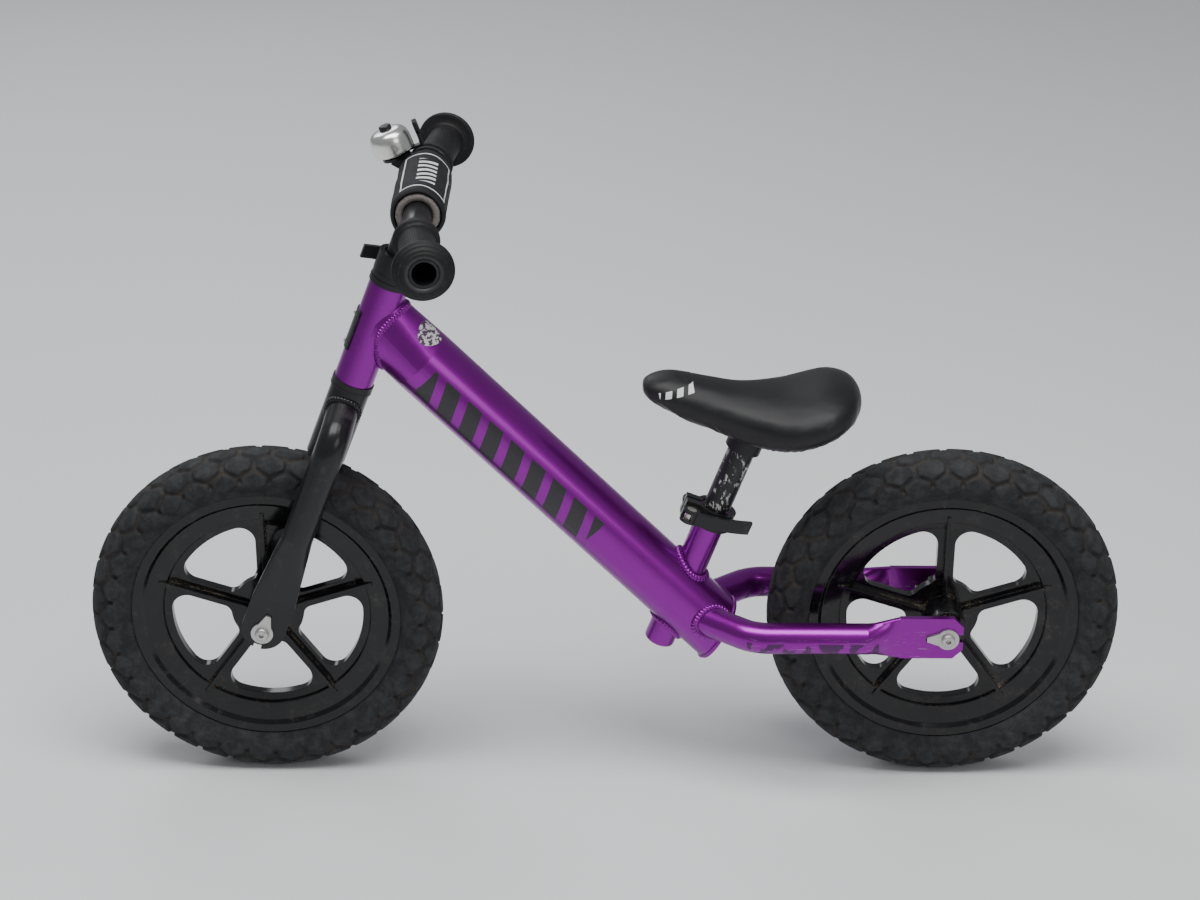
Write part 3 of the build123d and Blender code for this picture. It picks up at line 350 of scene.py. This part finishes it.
def gripRubber():
    # matt rubber with a diamond grid of dots between smooth rings
    finish = Finish("gripRubber", (0.016, 0.016, 0.018), 0.6)
    finish.set("Specular IOR Level", 0.3)
    around = finish.attribute("around")
    along = finish.attribute("along")
    panel = finish.attribute("panel")
    worn = finish.attribute("worn")
    diagonals = (around + along).maths("SINE") * (around - along).maths("SINE")
    dots = finish.fine(diagonals, 0.05, 0.7) * panel
    cloud = finish.noise(60, 4)
    dust = finish.fine(finish.noise(220, 6, 0.75), 0.55, 0.72)
    colour = finish.mix(cloud, (0.005, 0.005, 0.006), (0.013, 0.013, 0.014))
    colour = finish.mix(dust * 0.14, colour, (0.28, 0.25, 0.22))
    finish.set("Base Color", finish.mix(worn * 0.35, colour, (0.10, 0.10, 0.105)))
    finish.set("Roughness", 0.5 + cloud * 0.18 - worn * 0.22)
    finish.bump(dots + finish.noise(1500, 2) * 0.12, 0.0009, 1.0)
    return finish.material


def sleeveCloth():
    # black woven sleeve, with a white frame and plain slanted white bars on its upper side
    finish = Finish("sleeveCloth", (0.018, 0.018, 0.021), 0.62)
    finish.set("Specular IOR Level", 0.25)
    around = finish.attribute("around")
    along = finish.attribute("along")
    weave = (around * 160.0).maths("SINE") * (along * 5200.0).maths("SINE")
    wide = around.maths("ABSOLUTE")
    deep = (along + 0.0125).maths("ABSOLUTE")
    outer = (wide < 0.98) * (deep < 0.0375)
    inner = (wide < 0.90) * (deep < 0.0355)
    phase = ((along + around * 0.006) / 0.0092).maths("FRACT")
    bars = (phase > 0.3) * (phase < 0.78) * (wide < 0.36) * (deep < 0.026)
    worn = finish.fine(finish.noise(900, 4, 0.7), 0.30, 0.40)
    white = (outer - inner + bars) * worn
    cloud = finish.noise(50, 4)
    dust = finish.fine(finish.noise(300, 6, 0.7), 0.58, 0.72)
    colour = finish.mix(cloud, (0.006, 0.006, 0.008), (0.017, 0.017, 0.020))
    colour = finish.mix(dust * 0.12, colour, (0.24, 0.22, 0.20))
    finish.set("Base Color", finish.mix(white, colour, (0.70, 0.71, 0.70)))
    finish.set("Roughness", 0.55 + cloud * 0.15)
    finish.bump(weave + finish.noise(160, 4) * 1.5, 0.00016, 0.6)
    return finish.material


def openFoam():
    # grey-brown open foam
    finish = Finish("openFoam", (0.16, 0.14, 0.13), 0.95)
    holes = finish.cells(900)
    cloud = finish.noise(120, 5, 0.7)
    finish.set("Base Color", finish.mix(cloud, (0.09, 0.08, 0.078), (0.25, 0.22, 0.205)))
    finish.set("Roughness", 0.88 + cloud * 0.1)
    finish.bump(holes + cloud, 0.0006, 0.8)
    return finish.material


def seatVinyl(nose):
    # satin vinyl with a faint leather grain and plain white dashes at each side of the nose
    finish = Finish("seatVinyl", (0.016, 0.016, 0.018), 0.38)
    finish.set("Specular IOR Level", 0.35)
    cells = finish.cells(850, "DISTANCE_TO_EDGE")
    cloud = finish.noise(26, 4)
    dust = finish.fine(finish.noise(240, 6, 0.75), 0.60, 0.74)
    ahead = finish.alongLine(nose, (1, 0, -0.22))
    above = finish.alongLine(nose, (0.22, 0, 1)) - 0.0042
    side = finish.alongLine(nose, (0, 1, 0)).maths("ABSOLUTE")
    phase = ((ahead + above * 0.3) / 0.0095).maths("FRACT")
    dash = (phase > 0.18) * (phase < 0.74) * (ahead < -0.0165) * (ahead > -0.045)
    dash = dash * ((above - 0.0005).maths("ABSOLUTE") < 0.0028) * (side > 0.008)
    colour = finish.mix(cloud, (0.005, 0.005, 0.006), (0.011, 0.011, 0.0125))
    colour = finish.mix(dust * 0.12, colour, (0.30, 0.28, 0.26))
    finish.set("Base Color", finish.mix(dash, colour, (0.74, 0.74, 0.73)))
    finish.set("Roughness", 0.33 + cloud * 0.12 + dust * 0.2)
    grain = finish.fine(cells, 0.0, 0.1) + finish.noise(700, 3) * 0.5
    finish.bump(grain, 0.00009, 0.6)
    return finish.material


def paleFloor():
    # smooth pale floor, a little cloudy
    finish = Finish("paleFloor", (0.78, 0.79, 0.80), 0.75)
    cloud = finish.noise(1.2, 3)
    finish.set("Base Color", finish.mix(cloud, (0.76, 0.77, 0.78), (0.81, 0.815, 0.82)))
    finish.bump(finish.noise(260, 3), 0.0001, 0.2)
    return finish.material


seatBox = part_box("seat_pad")
noseAt = Vector((seatBox[1][0], 0, seatBox[1][2] - 0.0205))
deepBlack = (0.007, 0.007, 0.008)
finishes = {
    "frame_purple": paintedPurple(),
    "fork_black": chippedBlack("forkBlack", deepBlack, 0.24, 0.68),
    "clamp_black": chippedBlack("clampBlack", deepBlack, 0.32, 0.74, (0.3, 0.3, 0.3)),
    "headset_black": chippedBlack("headsetBlack", (0.008, 0.008, 0.009), 0.42, 0.76),
    "zinc": plainMetal("zinc", (0.56, 0.56, 0.54), 0.34, 0.55),
    "polished_steel": plainMetal("polishedSteel", (0.66, 0.64, 0.58), 0.2, 0.15),
    "wheel_plastic": glossyWheel(),
    "tyre_foam": foamTyre(),
    "grip_rubber": gripRubber(),
    "pad_fabric": sleeveCloth(),
    "pad_foam": openFoam(),
    "bell_chrome": plainMetal("bellChrome", (0.80, 0.79, 0.76), 0.16, 0.12, 260),
    "bell_plastic": chippedBlack("bellPlastic", deepBlack, 0.35, 0.8),
    "seat_vinyl": seatVinyl(noseAt),
    "seat_plastic": chippedBlack("seatPlastic", (0.009, 0.009, 0.010), 0.5, 0.76),
    "post_paint": chippedBlack("postPaint", (0.010, 0.010, 0.011), 0.34, 0.555,
                               (0.62, 0.62, 0.60), (1, 1, 0.4)),
    "badge_black": chippedBlack("badgeBlack", (0.012, 0.012, 0.014), 0.3, 0.78),
}
slotOf = {part["node"]: part["material_slot"] for part in frame["record"]["subparts"]}
for name, node in frame["nodes"].items():
    node.data.materials.clear()
    node.data.materials.append(finishes[slotOf[name]])
print("materials made")

reach = 9
corners = [(-reach, -reach, 0), (reach, -reach, 0), (reach, reach, 0), (-reach, reach, 0)]
floorMesh = bpy.data.meshes.new("floor")
floorMesh.from_pydata(corners, [], [(0, 1, 2, 3)])
floorMesh.materials.append(paleFloor())
floor = bpy.data.objects.new("floor", floorMesh)
bpy.context.scene.collection.objects.link(floor)


# making meshes
def addPiece(name, points, faces, slot, body, stands=()):
    mesh = bpy.data.meshes.new(name)
    mesh.from_pydata([tuple(p) for p in points], [], [tuple(f) for f in faces])
    mesh.materials.append(finishes[slot])
    mesh.polygons.foreach_set("use_smooth", [True] * len(mesh.polygons))
    mesh.update()
    made = bpy.data.objects.new(name, mesh)
    bpy.context.scene.collection.objects.link(made)
    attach(made, body)
    if stands:
        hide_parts(*stands)
    return made


def gridFaces(rows, columns, closedRows=False, closedColumns=True):
    faces = []
    for i in range(rows if closedRows else rows - 1):
        for j in range(columns if closedColumns else columns - 1):
            a = i * columns + j
            b = i * columns + (j + 1) % columns
            c = ((i + 1) % rows) * columns + (j + 1) % columns
            d = ((i + 1) % rows) * columns + j
            faces.append((a, b, c, d))
    return faces


def addNumbers(piece, name, values):
    layer = piece.data.attributes.new(name, "FLOAT", "POINT")
    layer.data.foreach_set("value", np.asarray(values, dtype=np.float32))


def evenly(points, count, last=True):
    # evenly spaced places along straight steps between the points
    run = np.concatenate([[0], np.cumsum(np.linalg.norm(np.diff(points, axis=0), axis=1))])
    places = np.linspace(0, run[-1], count, endpoint=last)
    return np.column_stack([np.interp(places, run, column) for column in points.T]), places


def smoothLine(points, count):
    # evenly spaced places on a smooth curve through the points
    points = np.asarray(points, float)
    padded = np.vstack([2 * points[0] - points[1], points, 2 * points[-1] - points[-2]])
    dense = []
    for i in range(1, len(padded) - 2):
        a, b, c, d = padded[i - 1:i + 3]
        for t in np.linspace(0, 1, 24, endpoint=False):
            dense.append(0.5 * (2 * b + (c - a) * t + (2 * a - 5 * b + 4 * c - d) * t**2
                                + (3 * b - a - 3 * c + d) * t**3))
    dense.append(points[-1])
    return evenly(np.array(dense), count)


# tyres
tyre = {
    # radius, distance to the side; from the bead to the middle of the tread
    "outline": [(0.1111, 0.0155), (0.1120, 0.0180), (0.1160, 0.0213), (0.1215, 0.0232),
                (0.1270, 0.0235), (0.1330, 0.0226), (0.1378, 0.0202), (0.1411, 0.0165),
                (0.1432, 0.0115), (0.1445, 0.0058), (0.1450, 0)],
    "radius": 0.145,
    "blocks": 33,
    "rowGap": 0.0178,
    "grooveWidth": 0.0015,
    "grooveDepth": 0.0022,
    "treadEdge": 0.0372,
    "scallop": 0.0030,
    "wallDrop": 0.0011,
    "ribStart": 0.0415,
    "ribHeight": 0.00018,
    "nickAt": 0.0330,
    "nickWidth": 0.0016,
    "nickDepth": 0.0012,
    "around": 1056,
    "across": 101,
}


def makeTyre(name, centre, body, stands, turn):
    half = tyre["outline"]
    profile = half + [(r, -y) for r, y in reversed(half[:-1])]
    section, run = smoothLine(profile, tyre["across"])
    run = run - run[-1] / 2
    slope = np.gradient(section, axis=0)
    normal = np.column_stack([slope[:, 1], -slope[:, 0]])
    normal /= np.linalg.norm(normal, axis=1)[:, None]
    angles = np.linspace(0, 2 * pi, tyre["around"], endpoint=False)
    # s runs round the tread and w across it
    s, w = np.meshgrid(angles * tyre["radius"], run, indexing="ij")
    off = np.abs(w)
    pitch = 2 * pi * tyre["radius"] / tyre["blocks"]
    distances = []
    for row in range(-2, 3):
        shift = 0.5 * pitch if row % 2 else 0
        nearest = np.round((s - shift) / pitch) * pitch + shift
        for near in (-pitch, 0, pitch):
            sideways = (w - row * tyre["rowGap"]) * (1.0 if abs(row) < 2 else 0.9)
            distances.append(np.hypot((s - nearest - near) * 0.98, sideways * 1.28))
    distances = np.sort(np.array(distances), axis=0)
    gap = (distances[1] - distances[0]) / 2
    groove = np.clip((2.0 * tyre["grooveWidth"] - gap) / tyre["grooveWidth"], 0, 1)
    groove = groove * groove * (3 - 2 * groove)
    # the outermost blocks end in a scalloped edge, and below it the wall is smooth with fine ribs
    edge = tyre["treadEdge"] + tyre["scallop"] * np.cos(2 * pi * s / pitch)
    wall = np.clip((off - edge) / 0.0016, 0, 1)
    depth = groove * (1 - wall) * tyre["grooveDepth"] + wall * tyre["wallDrop"]
    ribbed = np.clip((off - tyre["ribStart"]) / 0.003, 0, 1)
    depth = depth - tyre["ribHeight"] * np.sin(off * 2600) * ribbed * wall
    # a small nick in the middle of each side block
    nick = np.abs(((s / pitch) % 1) - 0.5) * pitch
    notch = np.clip((tyre["nickWidth"] - nick) / 0.0006, 0, 1)
    notch = notch * np.clip(1 - np.abs(off - tyre["nickAt"]) / 0.0032, 0, 1)
    depth = depth + notch * tyre["nickDepth"] * (1 - wall)
    # nothing is cut at the beads
    depth = depth * np.clip((run[-1] - off) / 0.006, 0, 1)
    radius = section[:, 0][None, :] + normal[:, 0][None, :] * depth
    side = section[:, 1][None, :] + normal[:, 1][None, :] * depth
    turned = angles + turn
    x = centre.x + radius * np.cos(turned)[:, None]
    z = centre.z + radius * np.sin(turned)[:, None]
    points = np.stack([x, np.broadcast_to(side, x.shape), z], axis=-1).reshape(-1, 3)
    faces = gridFaces(tyre["around"], tyre["across"], closedRows=True, closedColumns=False)
    made = addPiece(name, points, faces, "tyre_foam", body, stands)
    addNumbers(made, "groove", np.clip(groove * (1 - wall) + notch, 0, 1).reshape(-1))


makeTyre("frontTread", bike["frontAxle"], "front_wheel_assembly", ("front_tyre",), 0.03)
makeTyre("rearTread", bike["rearAxle"], "rear_wheel_assembly", ("rear_tyre",), 0.01)
print("tyres made")


# seat pad
seat = {
    # ahead of the anchor, half width, half height, middle above the anchor
    "stations": [(0.0885, 0.0040, 0.0030, 0.0405), (0.0868, 0.0110, 0.0066, 0.0400),
                 (0.0830, 0.0168, 0.0093, 0.0390), (0.0690, 0.0242, 0.0131, 0.0367),
                 (0.0500, 0.0287, 0.0155, 0.0300), (0.0260, 0.0332, 0.0173, 0.0230),
                 (0.0060, 0.0397, 0.0192, 0.0178), (-0.0215, 0.0520, 0.0215, 0.0151),
                 (-0.0400, 0.0570, 0.0225, 0.0170), (-0.0620, 0.0550, 0.0213, 0.0234),
                 (-0.0775, 0.0420, 0.0163, 0.0282), (-0.0850, 0.0240, 0.0100, 0.0292),
                 (-0.0880, 0.0090, 0.0040, 0.0292)],
    "anchorBehind": 0.0885,
    "anchorBelow": 0.0498,
    "topPower": 0.90,
    "underPower": 0.78,
    "along": 96,
    "around": 96,
    "shrink": 0.0009,
    "voxel": 0.0042,
    "pressure": 4.0,
    "swell": 0.0024,
    "steps": 20,
    "puckerFrom": -0.35,
}
seatAnchorX = seatBox[1][0] - seat["anchorBehind"]
seatAnchorZ = seatBox[1][2] - seat["anchorBelow"]


def puff(piece, voxel, pressure, cap):
    # inflates a closed form as cloth and keeps each point near where it began
    bpy.context.view_layer.objects.active = piece
    for other in bpy.context.selected_objects:
        other.select_set(False)
    piece.select_set(True)
    remesh = piece.modifiers.new("remesh", "REMESH")
    remesh.mode = "VOXEL"
    remesh.voxel_size = voxel
    remesh.use_smooth_shade = True
    bpy.ops.object.modifier_apply(modifier=remesh.name)
    start = np.empty(len(piece.data.vertices) * 3)
    piece.data.vertices.foreach_get("co", start)
    cloth = piece.modifiers.new("cloth", "CLOTH")
    cloth.settings.use_pressure = True
    cloth.settings.uniform_pressure_force = pressure
    cloth.settings.quality = 5
    cloth.settings.mass = 0.25
    cloth.settings.tension_stiffness = 25
    cloth.settings.compression_stiffness = 25
    cloth.settings.effector_weights.gravity = 0
    cloth.collision_settings.use_collision = False
    for step in range(1, seat["steps"] + 1):
        bpy.context.scene.frame_set(step)
    bpy.ops.object.modifier_apply(modifier=cloth.name)
    bpy.context.scene.frame_set(1)
    ended = np.empty_like(start)
    piece.data.vertices.foreach_get("co", ended)
    move = (ended - start).reshape(-1, 3)
    far = np.linalg.norm(move, axis=1)[:, None]
    move *= np.minimum(1, cap / np.maximum(far, 1e-9))
    piece.data.vertices.foreach_set("co", (start.reshape(-1, 3) + move).reshape(-1))
    rounder = piece.modifiers.new("rounder", "SMOOTH")
    rounder.factor = 0.5
    rounder.iterations = 3
    bpy.ops.object.modifier_apply(modifier=rounder.name)
    finer = piece.modifiers.new("finer", "SUBSURF")
    finer.levels = 1
    finer.render_levels = 1
    bpy.ops.object.modifier_apply(modifier=finer.name)
    piece.data.update()


def makeSeat():
    line, _ = smoothLine(seat["stations"], seat["along"])
    count = seat["around"]
    points = []
    for ahead, wide, high, rise in line:
        wide, high = max(wide - seat["shrink"], 0.001), max(high - seat["shrink"], 0.001)
        for k in range(count):
            t = 2 * pi * k / count
            c, s = cos(t), sin(t)
            power = seat["topPower"] if s > 0 else seat["underPower"]
            side = wide * (abs(c) ** power) * (1 if c > 0 else -1)
            up = high * (abs(s) ** power) * (1 if s > 0 else -1)
            if s < 0:
                side *= 1 - 0.10 * (abs(s) ** 1.5)
            points.append((seatAnchorX + ahead, side, seatAnchorZ + rise + up))
    faces = gridFaces(seat["along"], count)
    faces.append(tuple(reversed(range(count))))
    faces.append(tuple(range((seat["along"] - 1) * count, seat["along"] * count)))
    made = addPiece("seatCover", points, faces, "seat_vinyl", "seat", ("seat_pad",))
    puff(made, seat["voxel"], seat["pressure"], seat["swell"])
    # the cover is drawn in under the edge, with small puckers
    aheads, _, highs, rises = zip(*reversed(seat["stations"]))
    for vertex in made.data.vertices:
        ahead = vertex.co.x - seatAnchorX
        rise = np.interp(ahead, aheads, rises)
        high = np.interp(ahead, aheads, highs)
        below = (vertex.co.z - seatAnchorZ - rise) / max(high, 0.004)
        if below < seat["puckerFrom"]:
            turn = atan2(vertex.co.y, ahead + 0.02)
            ease = min(1, (seat["puckerFrom"] - below) / 0.3)
            pucker = 0.00045 * sin(turn * 46) + 0.0003 * sin(turn * 71 + 1.3)
            vertex.co.z += pucker * ease
    made.data.update()


makeSeat()
print("seat made")

# bar sleeve
sleeve = {
    "near": 0.0335,
    "far": -0.0630,
    "radius": 0.0213,
    "lean": radians(14),
    "swell": 0.0008,
    "seamDepth": 0.0016,
    "seamWidth": 0.16,
    "around": 112,
}


def barPoint(y, turn, radius):
    # turn is measured from the top, leaning to the rear
    turn = turn + sleeve["lean"]
    return (barMiddle.x - radius * sin(turn), y, barMiddle.z + radius * cos(turn))


def makeSleeve():
    # cover: outside from the far lip to the near one, then a turned-in lip
    near, far, radius = sleeve["near"], sleeve["far"], sleeve["radius"]
    outline = [(far + 0.0022, 0.0158), (far, 0.0175), (far + 0.0006, 0.0192),
               (far + 0.0030, 0.0206)]
    for y in np.linspace(far + 0.006, near - 0.004, 44):
        outline.append((y, radius + 0.0001 * sin(y * 240)))
    outline += [(near - 0.0016, radius - 0.0005), (near, radius - 0.0016),
                (near - 0.0002, radius - 0.0028), (near - 0.0030, radius - 0.0036),
                (far + 0.0060, radius - 0.0038)]
    count = sleeve["around"]
    points, around, along = [], [], []
    for y, r in outline:
        for k in range(count):
            turn = 2 * pi * k / count
            signed = turn if turn < pi else turn - 2 * pi
            # a lacing channel underneath, and soft unevenness
            seam = sleeve["seamDepth"] * np.exp(-((pi - abs(signed)) / sleeve["seamWidth"]) ** 2)
            wave = 0.00022 * sin(3 * turn + y * 90) + 0.00016 * sin(5 * turn - y * 150)
            bulge = 0.0002 * sin(pi * (y - far) / (near - far))
            full = r - seam + wave * (1 if r > 0.018 else 0) + bulge
            points.append(barPoint(y, signed, min(full, radius + sleeve["swell"])))
            around.append(signed)
            along.append(y)
    faces = gridFaces(len(outline), count, closedRows=True)
    made = addPiece("sleeveCover", points, faces, "pad_fabric", "bars", ("bar_pad_cover",))
    addNumbers(made, "around", around)
    addNumbers(made, "along", along)
    # foam: its near end shows, a little ragged
    outline = [(far + 0.004, 0.0114), (far + 0.003, 0.0150), (far + 0.006, 0.0172),
               (near - 0.004, 0.0174), (near - 0.0008, 0.0170), (near + 0.0004, 0.0155),
               (near + 0.0002, 0.0132), (near - 0.0012, 0.0115)]
    points = []
    for y, r in outline:
        for k in range(count):
            turn = 2 * pi * k / count
            ragged = 0.00012 * sin(turn * 11 + r * 900) + 0.0001 * sin(turn * 29)
            ragged += 0.00008 * sin(turn * 47 + 1)
            out = r + (ragged if r > 0.012 else 0)
            shift = ragged * 0.8 if y > near - 0.002 else 0
            points.append(barPoint(y + shift, turn, out))
    faces = gridFaces(len(outline), count, closedRows=True)
    foam = addPiece("sleeveFoam", points, faces, "pad_foam", "bars", ("bar_pad_foam",))


makeSleeve()
print("sleeve made")

# grips
grip = {
    "length": 0.076,
    "endCap": 0.0015,
    "dotPitch": 0.0034,
    "dotsAround": 26,
    "step": 0.0012,
    "around": 96,
    # distance from the inner end, radius
    "outline": [(0.0000, 0.0112), (0.0000, 0.0155), (0.0008, 0.0165), (0.0032, 0.0165),
                (0.0040, 0.0155), (0.0044, 0.0143), (0.0052, 0.0143), (0.0056, 0.0170),
                (0.0064, 0.0180), (0.0088, 0.0180), (0.0095, 0.0168), (0.0100, 0.0144),
                (0.0130, 0.0141), (0.0200, 0.0140), (0.0300, 0.0141), (0.0400, 0.0141),
                (0.0500, 0.0140), (0.0600, 0.0141), (0.0640, 0.0146), (0.0652, 0.0175),
                (0.0657, 0.0222), (0.0664, 0.0232), (0.0686, 0.0232), (0.0694, 0.0225),
                (0.0697, 0.0215), (0.0716, 0.0214), (0.0722, 0.0205), (0.0725, 0.0193),
                (0.0742, 0.0191), (0.0748, 0.0180), (0.0750, 0.0166), (0.0758, 0.0163),
                (0.0760, 0.0150), (0.0758, 0.0128), (0.0748, 0.0115), (0.0720, 0.0112)],
}
barLeg = (bike["barHalf"] - grip["endCap"] - bike["barBend"]) / cos(bike["barSweep"])


def makeGrip(name, side, stands):
    way = Vector((-sin(bike["barSweep"]), side * cos(bike["barSweep"]), 0))
    end = Vector((barMiddle.x, side * bike["barBend"], barMiddle.z)) + way * barLeg
    inner = end + way * (grip["endCap"] - grip["length"])
    up = Vector((0, 0, 1))
    across = way.cross(up)
    raw = grip["outline"]
    outline = [raw[0]]
    for (a, r), (b, q) in zip(raw, raw[1:]):
        steps = max(1, int(max(abs(b - a), abs(q - r)) / grip["step"]))
        for i in range(1, steps + 1):
            outline.append((a + (b - a) * i / steps, r + (q - r) * i / steps))
    count = grip["around"]
    points, around, along, panel, worn = [], [], [], [], []
    for run, radius in outline:
        for k in range(count):
            turn = 2 * pi * k / count
            # the dotted panel has wavy ends
            edge = 0.0035 * sin(turn * 3)
            dotted = 0.014 + edge < run < 0.056 + edge and radius > 0.0135
            points.append(inner + way * run + (across * sin(turn) + up * cos(turn)) * radius)
            around.append(turn * grip["dotsAround"])
            along.append(run * 2 * pi / grip["dotPitch"])
            panel.append(1.0 if dotted else 0.0)
            worn.append(max(0.0, min(1.0, (run - 0.0735) / 0.0015)) if radius < 0.0150 else 0.0)
    faces = gridFaces(len(outline), count)
    made = addPiece(name, points, faces, "grip_rubber", "bars", stands)
    layers = {"around": around, "along": along, "panel": panel, "worn": worn}
    for label, numbers in layers.items():
        addNumbers(made, label, numbers)


makeGrip("gripLeft", 1, ("grip_left",))
makeGrip("gripRight", -1, ("grip_right",))
print("grips made")

# bell dome
bell = {
    "fromBend": 0.0056,
    "lean": radians(20),
    "ahead": 0.026,
    "above": 0.0144,
    "wall": 0.0011,
    "hole": 0.0028,
    "around": 120,
    # radius, height above the rim
    "outline": [(0.0152, 0.0000), (0.0158, -0.0001), (0.0166, 0.0003), (0.0166, 0.0040),
                (0.0165, 0.0080), (0.0163, 0.0110), (0.0157, 0.0136), (0.0144, 0.0160),
                (0.0124, 0.0178), (0.0098, 0.0189), (0.0065, 0.0194), (0.0030, 0.0194)],
}


def makeBell():
    sweep = bike["barSweep"]
    strap = Vector((barMiddle.x - bell["fromBend"] * sin(sweep),
                    -bike["barBend"] - bell["fromBend"] * cos(sweep), barMiddle.z))
    rim = strap + Vector((bell["ahead"], 0, bell["above"]))
    up = Vector((sin(bell["lean"]), 0, cos(bell["lean"])))
    ahead = Vector((cos(bell["lean"]), 0, -sin(bell["lean"])))
    line, _ = smoothLine(bell["outline"], 56)
    section = [tuple(p) for p in line]
    for r, h in line[::-1]:
        # the inner skin, without the rim
        if h > 0.0002 or r < 0.0150:
            lower = bell["wall"] if r < 0.0158 else 0
            section.append((max(r - bell["wall"], bell["hole"]), h - lower))
    count = bell["around"]
    points = []
    for r, h in section:
        # faint rings from spinning
        spun = 0.00005 * sin(h * 5200)
        for k in range(count):
            turn = 2 * pi * k / count
            out = ahead * cos(turn) + Vector((0, 1, 0)) * sin(turn)
            points.append(rim + up * h + out * (r + spun))
    faces = gridFaces(len(section), count)
    addPiece("bellDome", points, faces, "bell_chrome", "bars", ("bell_dome",))


makeBell()
print("bell made")

# weld beads
weld = {"pitch": 0.0026, "steps": 8, "sides": 14, "smoothings": 6, "sharp": 0.3, "reach": 0.0007}


def nodeMesh(name):
    mesh = bmesh.new()
    mesh.from_mesh(frame["nodes"][name].data)
    bmesh.ops.remove_doubles(mesh, verts=mesh.verts, dist=1e-5)
    return mesh


def seamLoops(name, other):
    # loops of sharp edges of one part that lie on another, the shortest first
    mesh, target = nodeMesh(name), nodeMesh(other)
    tree = BVHTree.FromBMesh(target)
    links = {}
    for edge in mesh.edges:
        if len(edge.link_faces) == 2 and edge.calc_face_angle(0) > weld["sharp"]:
            a, b = edge.verts
            if all((tree.find_nearest(v.co)[3] or 9) < weld["reach"] for v in (a, b)):
                links.setdefault(a.index, []).append(b.index)
                links.setdefault(b.index, []).append(a.index)
    mesh.verts.ensure_lookup_table()
    loops, seen = [], set()
    for first in links:
        if first in seen:
            continue
        chain = [first]
        seen.add(first)
        # walk one way from the first point, then the other
        for _ in range(2):
            here = chain[-1]
            while True:
                onward = [n for n in links[here] if n not in seen]
                if not onward:
                    break
                here = onward[0]
                seen.add(here)
                chain.append(here)
            chain.reverse()
        if len(chain) > 8:
            loops.append([mesh.verts[i].co.copy() for i in chain])
    mesh.free()
    target.free()
    return sorted(loops, key=loopLength)


def loopLength(loop):
    return sum((loop[(i + 1) % len(loop)] - loop[i]).length for i in range(len(loop)))


def meanHeight(loop):
    return sum(p.z for p in loop) / len(loop)


def weldBead(name, loop, slot, body, radius, out=0.0, shift=(0, 0, 0)):
    # out moves the bead away from the loop's middle, so that it stays clear of what slides inside
    points = np.array([tuple(p) for p in loop + loop[:1]])
    coins = max(6, round(loopLength(loop) / weld["pitch"]))
    steps = coins * weld["steps"]
    path, _ = evenly(points, steps, last=False)
    for _ in range(weld["smoothings"]):
        path = (np.roll(path, 1, 0) + 2 * path + np.roll(path, -1, 0)) / 4
    path = path + np.array(tuple(shift))
    tangent = np.roll(path, -1, 0) - np.roll(path, 1, 0)
    tangent /= np.linalg.norm(tangent, axis=1)[:, None]
    outward = path - path.mean(0)
    outward -= (outward * tangent).sum(1)[:, None] * tangent
    outward /= np.maximum(np.linalg.norm(outward, axis=1), 1e-6)[:, None]
    binormal = np.cross(tangent, outward)
    path = path + outward * out
    sides = weld["sides"]
    made = []
    for i in range(steps):
        phase = (i / weld["steps"]) % 1
        size = radius * (0.76 + 0.28 * sqrt(max(0, sin(pi * phase))))
        for k in range(sides):
            turn = 2 * pi * k / sides
            # each coin leans back over the one before
            lean = tangent[i] * (0.35 * radius * cos(turn))
            made.append(path[i] + (outward[i] * cos(turn) + binormal[i] * sin(turn)) * size + lean)
    addPiece(name, made, gridFaces(steps, sides, closedRows=True), slot, body)


def weldSeam(name, part, other, slot, body, radius, shift=(0, 0, 0)):
    # a bead on the longest seam, if the two parts share one
    loops = seamLoops(part, other)
    if loops:
        weldBead(name, loops[-1], slot, body, radius, 0.0, shift)


weldSeam("headWeld", "main_tube", "head_tube", "frame_purple", "frame", 0.0034, mainWay * 0.0024)
loops = sorted(seamLoops("main_tube", "seat_tube"), key=meanHeight)
if len(loops) > 1:
    weldBead("seatTubeWeld", loops[-1], "frame_purple", "frame", 0.0030, 0.0021)
    weldBead("stubWeld", loops[0], "frame_purple", "frame", 0.0026, 0.0019)
for side in ("left", "right"):
    weldSeam("stayWeld_" + side, "stay_" + side, "main_tube", "frame_purple", "frame", 0.0032)
    weldSeam("legWeld_" + side, "fork_leg_" + side, "fork_crown", "fork_black", "fork", 0.0028)
weldSeam("plateWeld", "tube_end_plate", "main_tube", "frame_purple", "frame", 0.0014)
print("welds made")
